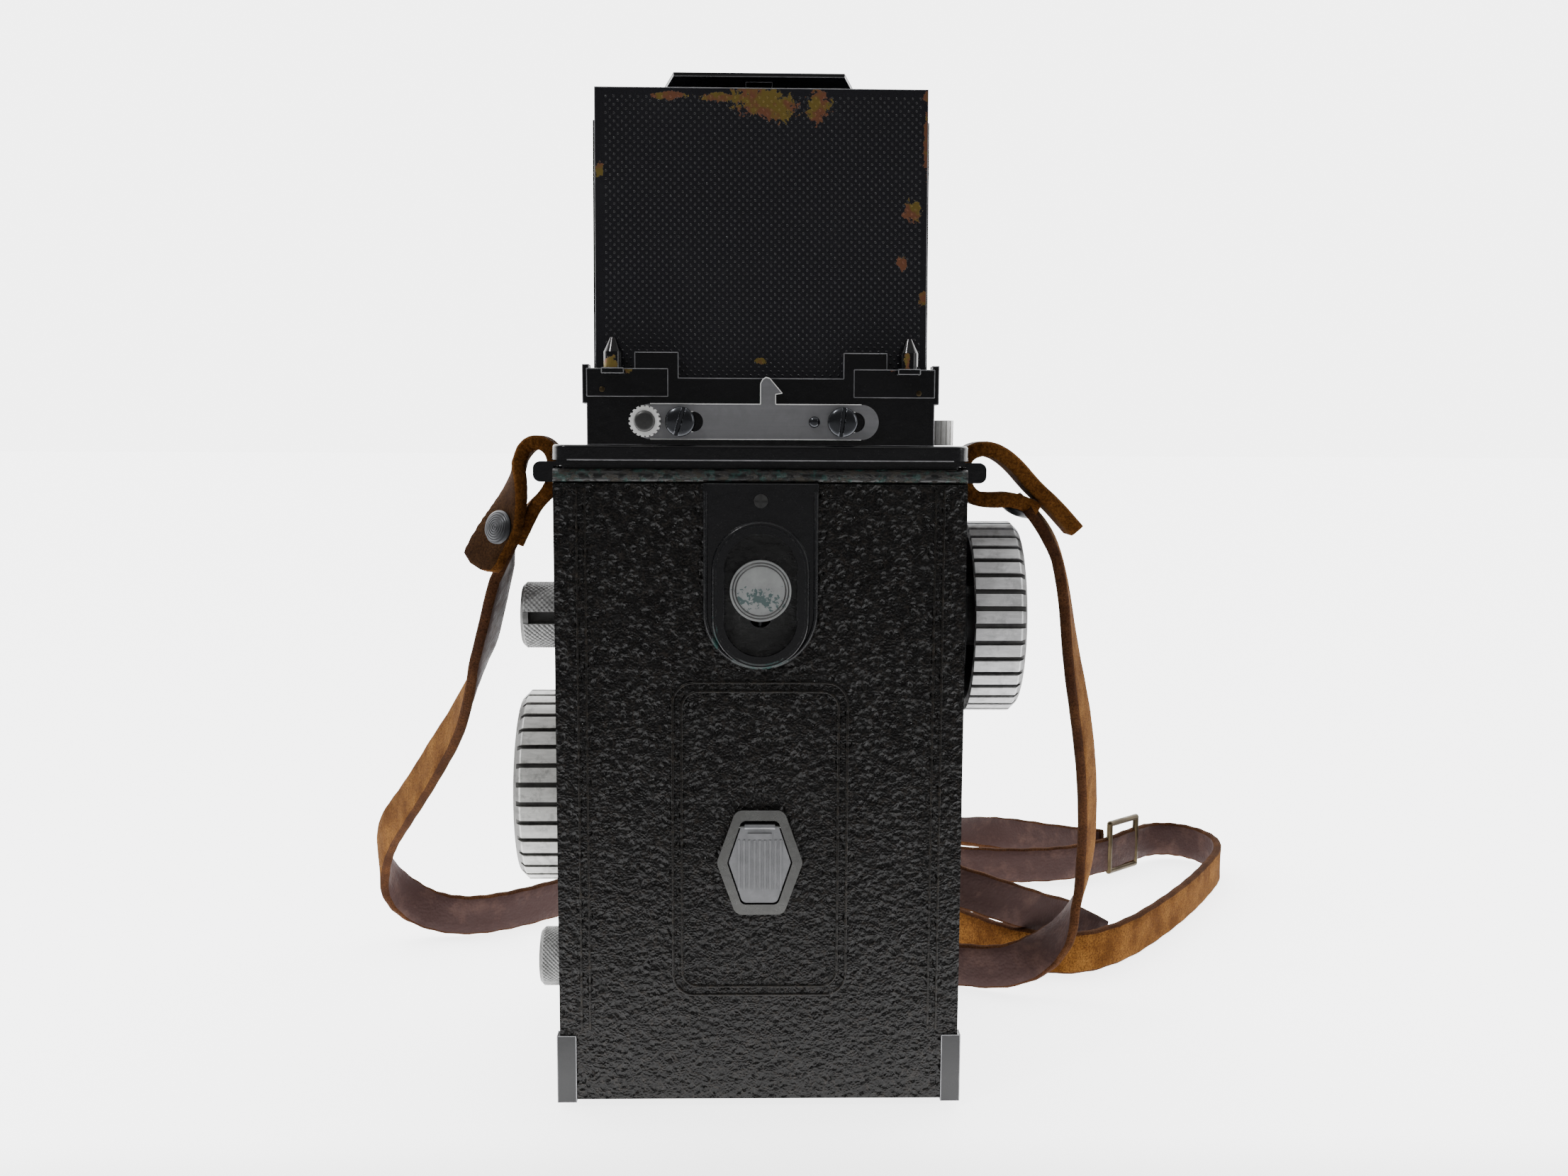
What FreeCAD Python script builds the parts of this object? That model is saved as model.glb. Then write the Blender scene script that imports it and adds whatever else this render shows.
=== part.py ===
"""Twin lens reflex camera for 6 x 6 cm pictures on roll film, with its folding hood raised.

Millimetres. The origin is under the middle of the body on the surface it stands on. +Z is up, the
lenses face -Y, the back door faces +Y, and +X is the side with the focusing knob.
Every piece is written to parts/NAME.step as one or more separate solids.
"""
import FreeCAD, Part
import math
import os

os.makedirs("parts", exist_ok=True)
V = FreeCAD.Vector

# ---- body ----
HALF_WIDTH = 38.0  # the casting; its covering adds LEATHER on each side
FRONT = -34.0
REAR = 33.0  # where the casting ends and the back door begins
FLOOR_Z = 1.4  # underside of the casting
CASTING_TOP = 125.2
PLATE_TOP = 128.0
PLATE_HALF_X, PLATE_HALF_Y = 38.9, 36.0
WALL = 6.0  # side walls, thick enough to carry the shafts
THIN_WALL = 3.0
ROOF = 4.2
LEATHER = 0.8
CHAMBER_HALF = HALF_WIDTH - WALL
SCREEN_HALF = 29.0
SCREEN_THICK = 1.5
FOOT_R, FOOT_HEIGHT = 3.0, 0.6
FOOT_X, FOOT_Y = (-32.0, 32.0), (-28.0, 26.0)
BUSH_R = 6.5
SOCKET_R = 4.0  # to the crest of the tripod thread
SOCKET_DEPTH = 6.0
LUG_X, LUG_Z = 41.9, 122.8
LUG_Y = (9.0, 27.0)
LUG_BAR_R = 1.1

# ---- optics ----
TAKING_Z = 57.0
VIEWING_Z = 97.0
FILM_Y = 31.0
PICTURE = 56.0
BOARD_BACK = -35.6
BOARD_FRONT = -38.5
BOARD_HALF = 30.0
BOARD_Z = (31.0, 120.0)
FOCUS_TRAVEL = 7.5
TAKING_TUBE_R = 16.0
VIEWING_TUBE_R = 15.0
TUBE_BORE_R = 12.0
SLIDE_FIT = 0.05  # running clearance on a radius
MIRROR_OFFSET = 100.5  # the mirror's face is the plane z = y + MIRROR_OFFSET
MIRROR_Y = (-25.5, 19.5)
MIRROR_HALF = 27.5
MIRROR_THICK = 1.3
SHUTTER_R = 21.0
SHUTTER_FRONT = -46.0
BOSS_R = 13.5
BOSS_FRONT = -51.0
RING_R = 20.4  # the speed ring
BARREL_R, BARREL_BORE_R = 15.5, 12.5
BARREL_FRONT = -50.0

# ---- film transport ----
WIND_Y, WIND_Z = 13.5, 94.0  # axis of the winding knob, take-up spool and upper spool knob
SUPPLY_Y, SUPPLY_Z = 7.0, 21.0
SHAFT_R = 2.5
WIND_SHAFT_R = 3.0
WIND_KNOB_R = 19.1
WIND_KNOB_X = (41.2, 51.2)  # distances from the middle plane, on the -X side
SPOOL_FLANGE_R = 12.0
SPOOL_CORE_R = 5.8
SPOOL_HALF = 31.2
SPOOL_BORE_R = 2.4
SPOOL_BORE_DEPTH = 4.0
ROLLER_R = 2.2
ROLLER_Y = 28.6
ROLLER_Z = (TAKING_Z - 34.0, TAKING_Z + 34.0)
ROLLER_HALF = 31.6
ROLLER_PIN_R = 1.0
ROLLER_END = 33.8
COUNTER_X, COUNTER_Y = -36.1, 10.0
COUNTER_R, COUNTER_HEIGHT = 2.9, 5.0

# ---- focusing drive ----
FOCUS_Y, FOCUS_Z = 4.0, 57.3
FOCUS_KNOB_R = 19.8
FOCUS_KNOB_X = (40.0, 48.9)
PINION_R = 1.43  # FOCUS_TRAVEL for 300 degrees of the knob
RACK_X = (27.0, 30.5)
RACK_Z = (FOCUS_Z + PINION_R + SLIDE_FIT, FOCUS_Z + PINION_R + SLIDE_FIT + 2.5)

# ---- hood ----
HOOD_HALF = 32.3
HOOD_FRONT = -35.3
HOOD_REAR = 33.5
HOOD_WALL = 0.55
HOOD_END_WALL = 0.7
HOOD_TOP = 142.0
BAND_X, BAND_Z, BAND_RISE = 17.3, 136.9, 0.25  # the raised bands at both ends of the rear wall
TAB_X = (15.4, 23.4)
TAB_TOP = 145.0
RECESS_TOP = 140.3
STUD_X, STUD_R, STUD_STRAIGHT = 27.35, 1.75, 3.0
PIVOT_R = 0.3  # the small pivots at the panels' corners
PIVOT_FIT = 0.05
SHEET = 0.8
PANEL_HALF = 30.75
PANEL_TOP = 193.3
REAR_AXIS_Y, REAR_AXIS_Z = 32.15, 130.2
REAR_LEAN = 3.0  # degrees towards the lid
SIDE_SHEET = 0.5
SIDE_AXIS_X = 31.2
SIDE_PIVOT_R = 0.2
SIDE_GAP = 3.0  # between the side panels and the rear panel
SIDE_AXIS_Z = {"left": 131.9, "right": 133.4}  # they fold one above the other
SIDE_TOP = 188.0
LID_AXIS_Y, LID_AXIS_Z = -34.9, 143.6
LID_HEIGHT = 62.8
FLAP_RISE = 13.0  # degrees that the lid's flap slopes up towards its free edge
FLAP_DEPTH = 8.0
FLAP_HALF = (21.2, 18.6)  # at the lid and at the free edge
MAGNIFIER_AXIS_Y, MAGNIFIER_AXIS_Z = -33.0, 199.0
MAGNIFIER_HALF = 18.4
MAGNIFIER_LENGTH = 38.0
MAGNIFIER_THICK = 1.6
MAGNIFIER_PIN_R = 0.6
MAGNIFIER_LENS_R = 13.0
EAR_X = (18.8, 20.4)

# ---- the sliding latch on the back of the hood base ----
LATCH_Y = (HOOD_REAR + 0.05, HOOD_REAR + 1.25)
LATCH_X = (-21.9, 23.8)
LATCH_Z = 132.3
LATCH_HALF = 3.25
LATCH_SCREW_X = (-15.1, 15.0)
LATCH_SCREW_R = 1.75
LATCH_HEAD_R = 2.75
LATCH_TRAVEL = 2.4
LATCH_KNOB_X, LATCH_KNOB_R, LATCH_KNOB_HEIGHT = 21.4, 2.9, 3.2

# ---- back door ----
DOOR_HALF = 38.6
DOOR_IN, DOOR_OUT = 33.3, 35.2
DOOR_TOP = 123.6
BEAD_R = 1.35
DOOR_AXIS_Y, DOOR_AXIS_Z = 33.9, 2.2
KNUCKLE_R = 1.25
HINGE_HALF = 22.0
KNUCKLE_GAP_X = 10.0
DOOR_PIN_R = 0.6
BUTTON_Z = 101.0
BUTTON_R = 5.75
BUTTON_TRAVEL = 5.0
STEM_R = 2.0
SPRING_R, SPRING_Z = 0.45, (88.3, 97.0)
ESCUTCHEON_HALF = 10.65
ESCUTCHEON_Z = (86.2, 120.9)
KEYHOLE_Z, KEYHOLE_R = 117.7, 0.9  # the small screw above the button
GUARD_X, GUARD_TOP = 35.5, 14.3
WINDOW_Z = 48.9
GLASS_R = 4.7
BEZEL_X, BEZEL_Z, BEZEL_FLAT, BEZEL_CORNER = 8.25, 10.2, 4.6, 1.8
FLAP_AXIS_Y, FLAP_AXIS_Z = DOOR_OUT + 1.15, WINDOW_Z + 6.9
FLAP_PIN_R, FLAP_PIN_HALF = 0.25, 5.6
FLAP_KNUCKLE_R, FLAP_KNUCKLE_HALF = 0.55, 2.9
FLAP_RIBS = 9

# ---- strap ----
STRAP_WIDTH = 10.0
STRAP_THICK = 1.8
STRAP_TUBE_R = math.sqrt(STRAP_WIDTH * STRAP_THICK / math.pi)  # a round tube of the same section
LOOP_IN = 1.2
LOOP_OUT = LOOP_IN + STRAP_THICK
END_Y = (13.0, 23.0)
RIVET_Y, RIVET_R = 18.0, 1.2
ARC_SHARE = 0.45  # of the shorter run beside a corner

SAVED = []


def save(name, *solids):
    shape = Part.makeCompound(list(solids)) if len(solids) > 1 else solids[0]
    shape.exportStep(f"parts/{name}.step")
    SAVED.append(name)


def box(x0, x1, y0, y1, z0, z1):
    return Part.makeBox(x1 - x0, y1 - y0, z1 - z0, V(x0, y0, z0))


def rod(axis, a, b, r, lo, hi):
    """A cylinder along an axis from lo to hi; a and b are its other two coordinates in X, Y, Z order."""
    start = {"x": V(lo, a, b), "y": V(a, lo, b), "z": V(a, b, lo)}[axis]
    way = {"x": V(1, 0, 0), "y": V(0, 1, 0), "z": V(0, 0, 1)}[axis]
    return Part.makeCylinder(r, hi - lo, start, way)


def ring(axis, a, b, r_out, r_in, lo, hi):
    return rod(axis, a, b, r_out, lo, hi).cut(rod(axis, a, b, r_in, lo, hi))


def fuse(first, *others):
    return first.fuse(list(others)).removeSplitter()


def round_upright(shape, r):
    """Round the edges that run along Z."""
    edges = [e for e in shape.Edges if abs(e.tangentAt(e.FirstParameter).z) > 0.999]
    return shape.makeFillet(r, edges)


def plate_xz(points, y0, y1):
    """A plate with a straight-sided outline in the XZ plane, between two values of y."""
    corners = [V(x, y0, z) for x, z in points]
    face = Part.Face(Part.makePolygon(corners + corners[:1]))
    return face.extrude(V(0, y1 - y0, 0))


def plate_yz(points, x0, x1):
    corners = [V(x0, y, z) for y, z in points]
    face = Part.Face(Part.makePolygon(corners + corners[:1]))
    return face.extrude(V(x1 - x0, 0, 0))


def slot_xz(x0, x1, z, half, y0, y1):
    """A bar with round ends along X, seen along Y; x0 and x1 are the centres of the ends."""
    middle = box(x0, x1, y0, y1, z - half, z + half)
    return fuse(middle, rod("y", x0, z, half, y0, y1), rod("y", x1, z, half, y0, y1))


def stadium_xz(z0, z1, half, y0, y1):
    """A bar with round ends along Z on the middle plane; z0 and z1 are its lowest and highest points."""
    middle = box(-half, half, y0, y1, z0 + half, z1 - half)
    return fuse(middle, rod("y", 0, z0 + half, half, y0, y1), rod("y", 0, z1 - half, half, y0, y1))


def hexagon_xz(half_x, half_z, half_flat, z, y0, y1, corner):
    """A tall hexagon with short flats at the top and bottom and rounded corners."""
    points = [
        (-half_flat, z + half_z),
        (half_flat, z + half_z),
        (half_x, z),
        (half_flat, z - half_z),
        (-half_flat, z - half_z),
        (-half_x, z),
    ]
    plate = plate_xz(points, y0, y1)
    across = [e for e in plate.Edges if abs(e.tangentAt(e.FirstParameter).y) > 0.999]
    return plate.makeFillet(corner, across)


def ribbed_knob(x0, x1, y, z, r, ribs, groove, bevel):
    """A knob between |x| = x0 and x1 on the +X side, with lengthwise grooves and a bevelled outer rim."""
    blank = rod("x", y, z, r, x0, x1)
    rim = [e for e in blank.Edges if abs(e.CenterOfMass.x - x1) < 0.01 and e.Length > 2 * r]
    blank = blank.makeChamfer(bevel, rim)
    cuts = []
    for i in range(ribs):
        cut = box(x0 - 1, x1 + 1, y - groove / 2, y + groove / 2, z + r - groove, z + r + 1)
        cut.rotate(V(0, y, z), V(1, 0, 0), 360.0 * i / ribs)
        cuts.append(cut)
    return blank.cut(cuts)


def mirror_x(shape):
    return shape.mirror(V(0, 0, 0), V(1, 0, 0))


def side_hole(y, z, r, side):
    """A hole right through the side wall and its covering; side is +1 or -1."""
    span = (CHAMBER_HALF - 1, HALF_WIDTH + 2 * LEATHER)
    return rod("x", y, z, r, *span) if side > 0 else rod("x", y, z, r, -span[1], -span[0])


# ---------------------------------------------------------------- body
def body_casting():
    shell = round_upright(box(-HALF_WIDTH, HALF_WIDTH, FRONT, REAR, FLOOR_Z, CASTING_TOP), 2.0)
    chamber_top = CASTING_TOP - ROOF
    opening = SCREEN_HALF - 1.5
    (x0, x1), (z0, z1) = RACK_X, RACK_Z
    cuts = [
        box(-CHAMBER_HALF, CHAMBER_HALF, FRONT + THIN_WALL, REAR + 3, FLOOR_Z + THIN_WALL, chamber_top),
        box(-opening, opening, -opening, opening, chamber_top - 1, CASTING_TOP + 1),
        rod("y", 0, TAKING_Z, TAKING_TUBE_R + SLIDE_FIT, FRONT - 1, FRONT + THIN_WALL + 1),
        rod("y", 0, VIEWING_Z, VIEWING_TUBE_R + SLIDE_FIT, FRONT - 1, FRONT + THIN_WALL + 1),
        box(x0 - 0.3, x1 + 0.3, FRONT - 1, FRONT + THIN_WALL + 1, z0 - 0.3, z1 + 0.3),
        rod("x", WIND_Y, WIND_Z, WIND_SHAFT_R + SLIDE_FIT, -HALF_WIDTH - 1, -CHAMBER_HALF + 1),
        rod("x", WIND_Y, WIND_Z, SHAFT_R + SLIDE_FIT, CHAMBER_HALF - 1, HALF_WIDTH + 1),
        rod("x", SUPPLY_Y, SUPPLY_Z, SHAFT_R + SLIDE_FIT, CHAMBER_HALF - 1, HALF_WIDTH + 1),
        rod("x", FOCUS_Y, FOCUS_Z, SHAFT_R + SLIDE_FIT, CHAMBER_HALF - 1, HALF_WIDTH + 1),
        rod("z", 0, 0, BUSH_R, FLOOR_Z - 1, FLOOR_Z + THIN_WALL + 1),
        box(-4.6, 4.6, REAR - 1.4, REAR + 1, chamber_top - 1, CASTING_TOP - 1),
        box(-HINGE_HALF - 0.5, HINGE_HALF + 0.5, REAR - 0.8, REAR + 1, 0, DOOR_AXIS_Z + KNUCKLE_R + 0.4),
    ]
    for z in ROLLER_Z:
        cuts.append(rod("x", ROLLER_Y, z, ROLLER_PIN_R + SLIDE_FIT, -ROLLER_END - 0.2, ROLLER_END + 0.2))
    shell = shell.cut(cuts)
    lip = box(-HALF_WIDTH, HALF_WIDTH, REAR - 0.5, REAR + 2.6, CASTING_TOP - 1, CASTING_TOP)
    knuckles = []
    for x in (-HINGE_HALF, KNUCKLE_GAP_X):
        end = x + HINGE_HALF - KNUCKLE_GAP_X
        web = box(x, end, REAR - 2, DOOR_AXIS_Y, FLOOR_Z, DOOR_AXIS_Z + 0.6)
        knuckles += [rod("x", DOOR_AXIS_Y, DOOR_AXIS_Z, KNUCKLE_R, x, end), web]
    whole = fuse(shell, lip, *knuckles)
    return whole.cut(rod("x", DOOR_AXIS_Y, DOOR_AXIS_Z, DOOR_PIN_R, -HINGE_HALF - 1, HINGE_HALF + 1))


save("body_casting", body_casting())
save("door_hinge_pin", rod("x", DOOR_AXIS_Y, DOOR_AXIS_Z, DOOR_PIN_R, -HINGE_HALF, HINGE_HALF))


def top_plate():
    x, y = PLATE_HALF_X, PLATE_HALF_Y
    plate = round_upright(box(-x, x, -y, y, CASTING_TOP, PLATE_TOP), 3.0)
    rim = [e for e in plate.Edges if e.BoundBox.ZMin > PLATE_TOP - 0.01]
    plate = plate.makeFillet(0.6, rim)
    hole = box(-SCREEN_HALF, SCREEN_HALF, -SCREEN_HALF, SCREEN_HALF, CASTING_TOP - 1, PLATE_TOP + 1)
    return plate.cut(hole)


def focusing_screen():
    half = SCREEN_HALF
    return box(-half, half, -half, half, CASTING_TOP, CASTING_TOP + SCREEN_THICK)


save("top_plate", top_plate())
save("focusing_screen", focusing_screen())


def base_plate():
    x, y0, y1 = HALF_WIDTH - 1, FRONT + 1, REAR - 2
    plate = round_upright(box(-x, x, y0, y1, FOOT_HEIGHT, FLOOR_Z), 2.0)
    feet = [rod("z", x, y, FOOT_R, 0.0, FOOT_HEIGHT) for x in FOOT_X for y in FOOT_Y]
    return fuse(plate, *feet).cut(rod("z", 0, 0, BUSH_R, 0, FLOOR_Z + 1))


def tripod_bush():
    bush = rod("z", 0, 0, BUSH_R, FOOT_HEIGHT, FOOT_HEIGHT + SOCKET_DEPTH + 1.2)
    return bush.cut(rod("z", 0, 0, SOCKET_R, 0, FOOT_HEIGHT + SOCKET_DEPTH))


save("base_plate", base_plate())
save("tripod_bush", tripod_bush())


def body_leather():
    """The two side coverings and the front covering."""
    z0, z1 = FLOOR_Z + 1.6, CASTING_TOP - 1.2
    right = box(-HALF_WIDTH - LEATHER, -HALF_WIDTH, FRONT + 2, REAR - 0.2, z0, z1)
    right = right.cut(side_hole(WIND_Y, WIND_Z, WIND_SHAFT_R + 0.4, -1))
    left = box(HALF_WIDTH, HALF_WIDTH + LEATHER, FRONT + 2, REAR - 0.2, z0, z1)
    shafts = ((WIND_Y, WIND_Z), (SUPPLY_Y, SUPPLY_Z), (FOCUS_Y, FOCUS_Z))
    left = left.cut([side_hole(y, z, SHAFT_R + 0.4, 1) for y, z in shafts])
    (x0, x1), (r0, r1) = RACK_X, RACK_Z
    front = box(-HALF_WIDTH + 2, HALF_WIDTH - 2, FRONT - LEATHER, FRONT, z0, z1)
    front = front.cut(
        [
            rod("y", 0, TAKING_Z, TAKING_TUBE_R + 0.5, FRONT - 2, FRONT + 1),
            rod("y", 0, VIEWING_Z, VIEWING_TUBE_R + 0.5, FRONT - 2, FRONT + 1),
            box(x0 - 0.5, x1 + 0.5, FRONT - 2, FRONT + 1, r0 - 0.5, r1 + 0.5),
        ]
    )
    return left, right, front


save("body_leather", *body_leather())


def dark_box():
    """The light-tight cone behind the taking lens, ending in the film gate."""
    half_in, half_out, y0 = 12.0, PICTURE / 2, -25.5
    grow = (half_out - half_in) / (FILM_Y - y0)

    def cone(extra, start, end):
        wires = []
        for y in (start, end):
            h = half_in + grow * (y - y0) + extra
            signs = ((-1, -1), (1, -1), (1, 1), (-1, 1), (-1, -1))
            wires.append(Part.makePolygon([V(i * h, y, TAKING_Z + k * h) for i, k in signs]))
        return Part.makeLoft(wires, True, True)

    gate = box(-CHAMBER_HALF, CHAMBER_HALF, FILM_Y - 3, FILM_Y, TAKING_Z - 31, TAKING_Z + 31)
    return fuse(cone(0.8, y0, FILM_Y - 0.5), gate).cut(cone(0.0, y0 - 1, FILM_Y + 1))


save("dark_box", dark_box())


def mirror():
    """First-surface mirror at 45 degrees, held by two bars across the chamber."""
    low_y, high_y = MIRROR_Y
    down = MIRROR_THICK / math.sqrt(2)
    face = [(low_y, low_y + MIRROR_OFFSET), (high_y, high_y + MIRROR_OFFSET)]
    back = [(y + down, z - down) for y, z in reversed(face)]
    return plate_yz(face + back, -MIRROR_HALF, MIRROR_HALF)


def mirror_bars():
    """Two bars from wall to wall, each with one face against the back of the mirror."""
    bars = []
    down = MIRROR_THICK / math.sqrt(2)
    for y, drop in ((MIRROR_Y[0] + 1, 3.0), (MIRROR_Y[1] - 5, 2.5)):
        y0, z0 = y + down, y + MIRROR_OFFSET - down
        outline = [(y0, z0), (y0 + 3.5, z0 + 3.5), (y0 + 3.5, z0 + 3.5 - drop), (y0, z0 - drop)]
        bars.append(plate_yz(outline, -CHAMBER_HALF, CHAMBER_HALF))
    return bars


save("mirror", mirror())
save("mirror_bars", *mirror_bars())


def roller(z):
    body = rod("x", ROLLER_Y, z, ROLLER_R, -ROLLER_HALF, ROLLER_HALF)
    return fuse(body, rod("x", ROLLER_Y, z, ROLLER_PIN_R, -ROLLER_END, ROLLER_END))


save("lower_roller", roller(ROLLER_Z[0]))
save("upper_roller", roller(ROLLER_Z[1]))


def strap_lug(side):
    """A bar along Y held off the side by two ends; the strap passes behind the bar."""
    thick, reach = 2.0, LUG_X + 1.5
    bar = rod("y", LUG_X, LUG_Z, LUG_BAR_R, LUG_Y[0] + 1, LUG_Y[1] - 1)
    ends = []
    for y in (LUG_Y[0], LUG_Y[1] - thick):
        peg = box(HALF_WIDTH + LEATHER, reach, y, y + thick, LUG_Z - 1.9, LUG_Z + 2.0)
        tips = [e for e in peg.Edges if e.BoundBox.XMin > reach - 0.01 and e.BoundBox.YLength > 1]
        ends.append(peg.makeFillet(1.4, tips))
    lug = fuse(bar, *ends)
    return lug if side > 0 else mirror_x(lug)


save("strap_lugs", strap_lug(1), strap_lug(-1))
side_face = -HALF_WIDTH - LEATHER
backplate = ring("x", WIND_Y, WIND_Z, 17.5, WIND_SHAFT_R + 0.4, side_face - 0.8, side_face)
save("winding_backplate", backplate)

# ---------------------------------------------------------------- hood
def hood_base():
    """The collar that the hood's panels fold down into."""
    inner = HOOD_HALF - HOOD_WALL
    y_in = (HOOD_FRONT + HOOD_END_WALL, HOOD_REAR - HOOD_END_WALL)
    collar = box(-HOOD_HALF, HOOD_HALF, HOOD_FRONT, HOOD_REAR, PLATE_TOP, HOOD_TOP)
    cuts = [
        box(-inner, inner, *y_in, PLATE_TOP + HOOD_END_WALL, HOOD_TOP + 1),
        box(-SCREEN_HALF, SCREEN_HALF, -SCREEN_HALF, SCREEN_HALF, PLATE_TOP - 1, PLATE_TOP + 2),
        box(-TAB_X[0], TAB_X[0], y_in[1] - 0.1, HOOD_REAR + 1, RECESS_TOP, HOOD_TOP + 1),
    ]
    collar = collar.cut(cuts)
    extras = []
    for side in (-1, 1):
        x0, x1 = sorted((side * TAB_X[0], side * TAB_X[1]))
        extras.append(box(x0, x1, y_in[1], HOOD_REAR, HOOD_TOP - 1, TAB_TOP))
        x0, x1 = sorted((side * BAND_X, side * HOOD_HALF))
        extras.append(box(x0, x1, HOOD_REAR - 0.1, HOOD_REAR + BAND_RISE, BAND_Z, HOOD_TOP))
        x0, x1 = sorted((side * (HOOD_HALF - 0.3), side * (HOOD_HALF + 0.8)))
        extras.append(box(x0, x1, HOOD_REAR - 3.5, HOOD_REAR, HOOD_TOP - 6.3, HOOD_TOP + 0.7))
        x0, x1 = sorted((side * inner, side * HOOD_HALF))
        extras.append(box(x0, x1, HOOD_FRONT, LID_AXIS_Y + 1.0, HOOD_TOP - 0.6, LID_AXIS_Z + 0.9))
        x0, x1 = sorted((side * (STUD_X - 2), side * (STUD_X + 2)))
        extras.append(box(x0, x1, HOOD_REAR - 0.3, HOOD_REAR + 2.6, HOOD_TOP - 0.9, HOOD_TOP))
        name = "left" if side > 0 else "right"
        z = SIDE_AXIS_Z[name]
        x0, x1 = sorted((side * (SIDE_AXIS_X - 0.35), side * (inner + 0.2)))
        extras.append(box(x0, x1, y_in[0] - 0.2, y_in[0] + 1.6, z - 0.7, z + 0.7))
        extras.append(box(x0, x1, y_in[1] - 1.1, y_in[1] + 0.2, z - 0.7, z + 0.7))
    whole = fuse(collar, *extras)
    r, side_r = PIVOT_R + PIVOT_FIT, SIDE_PIVOT_R + PIVOT_FIT
    pivots = [
        rod("x", REAR_AXIS_Y, REAR_AXIS_Z, r, -HOOD_HALF - 2, HOOD_HALF + 2),
        rod("x", LID_AXIS_Y, LID_AXIS_Z, r, -HOOD_HALF - 2, HOOD_HALF + 2),
        rod("y", SIDE_AXIS_X, SIDE_AXIS_Z["left"], side_r, y_in[0] + 0.1, y_in[1]),
        rod("y", -SIDE_AXIS_X, SIDE_AXIS_Z["right"], side_r, y_in[0] + 0.1, y_in[1]),
    ]
    return whole.cut(pivots)


save("hood_base", hood_base())


def hood_boss(side):
    """A bullet-shaped stud on a ledge behind the rear panel."""
    x, y = side * STUD_X, HOOD_REAR + 0.85
    shoulder = HOOD_TOP + STUD_STRAIGHT
    nose = Part.makeCone(STUD_R, 0.55, 2.6, V(x, y, shoulder))
    return fuse(rod("z", x, y, STUD_R, HOOD_TOP, shoulder), nose)


save("hood_bosses", hood_boss(-1), hood_boss(1))


def rear_panel():
    """Stands behind the screen; built upright on its pivot line, then leaned forward."""
    half = SHEET / 2
    y, z = REAR_AXIS_Y, REAR_AXIS_Z
    plate = box(-PANEL_HALF, PANEL_HALF, y - half, y + half, z, PANEL_TOP)
    foot = rod("x", y, z, half, -PANEL_HALF, PANEL_HALF)
    pivots = rod("x", y, z, PIVOT_R, -HOOD_HALF + 0.1, HOOD_HALF - 0.1)
    panel = fuse(plate, foot, pivots)
    panel.rotate(V(0, y, z), V(1, 0, 0), REAR_LEAN)
    return panel


def side_panel(name):
    """Folds inwards about its lower edge; its rear edge slopes like the rear panel."""
    half = SIDE_SHEET / 2
    z = SIDE_AXIS_Z[name]
    slope = math.tan(math.radians(REAR_LEAN))
    rear_low = REAR_AXIS_Y - SHEET / 2 - SIDE_GAP
    y_front = MAGNIFIER_AXIS_Y + MAGNIFIER_THICK / 2 + 0.3
    y_low = rear_low - slope * (z - REAR_AXIS_Z)
    y_high = rear_low - slope * (SIDE_TOP - REAR_AXIS_Z)
    outline = [(y_front, z), (y_low, z), (y_high, SIDE_TOP), (y_front, SIDE_TOP)]
    plate = plate_yz(outline, SIDE_AXIS_X - half, SIDE_AXIS_X + half)
    foot = rod("y", SIDE_AXIS_X, z, half, y_front, y_low)
    pivots = rod("y", SIDE_AXIS_X, z, SIDE_PIVOT_R, HOOD_FRONT + 0.9, HOOD_REAR - 0.8)
    panel = fuse(plate, foot, pivots)
    return panel if name == "left" else mirror_x(panel)


def hood_lid():
    """The front panel and lid, with a bent flap at its free edge and ears for the magnifier."""
    half = SHEET / 2
    y, z, top = LID_AXIS_Y, LID_AXIS_Z, LID_AXIS_Z + LID_HEIGHT
    plate = box(-PANEL_HALF, PANEL_HALF, y - half, y + half, z, top)
    foot = rod("x", y, z, half, -PANEL_HALF, PANEL_HALF)
    pivots = rod("x", y, z, PIVOT_R, -HOOD_HALF + 0.1, HOOD_HALF - 0.1)
    (root, tip), edge = FLAP_HALF, y + half + FLAP_DEPTH
    corners = [(-root, y), (root, y), (tip, edge), (-tip, edge)]
    wire = Part.makePolygon([V(cx, cy, top - SHEET) for cx, cy in corners + corners[:1]])
    flap = Part.Face(wire).extrude(V(0, 0, SHEET))
    pocket = box(-2.9, 2.9, y + half + 0.6, y + half + 5.4, top - 2, top - 0.3)
    flap = flap.cut(pocket)
    flap.rotate(V(0, y, top - half), V(1, 0, 0), FLAP_RISE)
    ears = []
    for side in (-1, 1):
        x0, x1 = sorted((side * EAR_X[0], side * EAR_X[1]))
        ear_z = (MAGNIFIER_AXIS_Z - 1.5, MAGNIFIER_AXIS_Z + 1.5)
        ears.append(box(x0, x1, y, MAGNIFIER_AXIS_Y + 1.2, *ear_z))
    lid = fuse(plate, foot, pivots, flap, *ears)
    end = EAR_X[1] + 1
    hole = rod("x", MAGNIFIER_AXIS_Y, MAGNIFIER_AXIS_Z, MAGNIFIER_PIN_R + SLIDE_FIT, -end, end)
    return lid.cut(hole)


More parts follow.
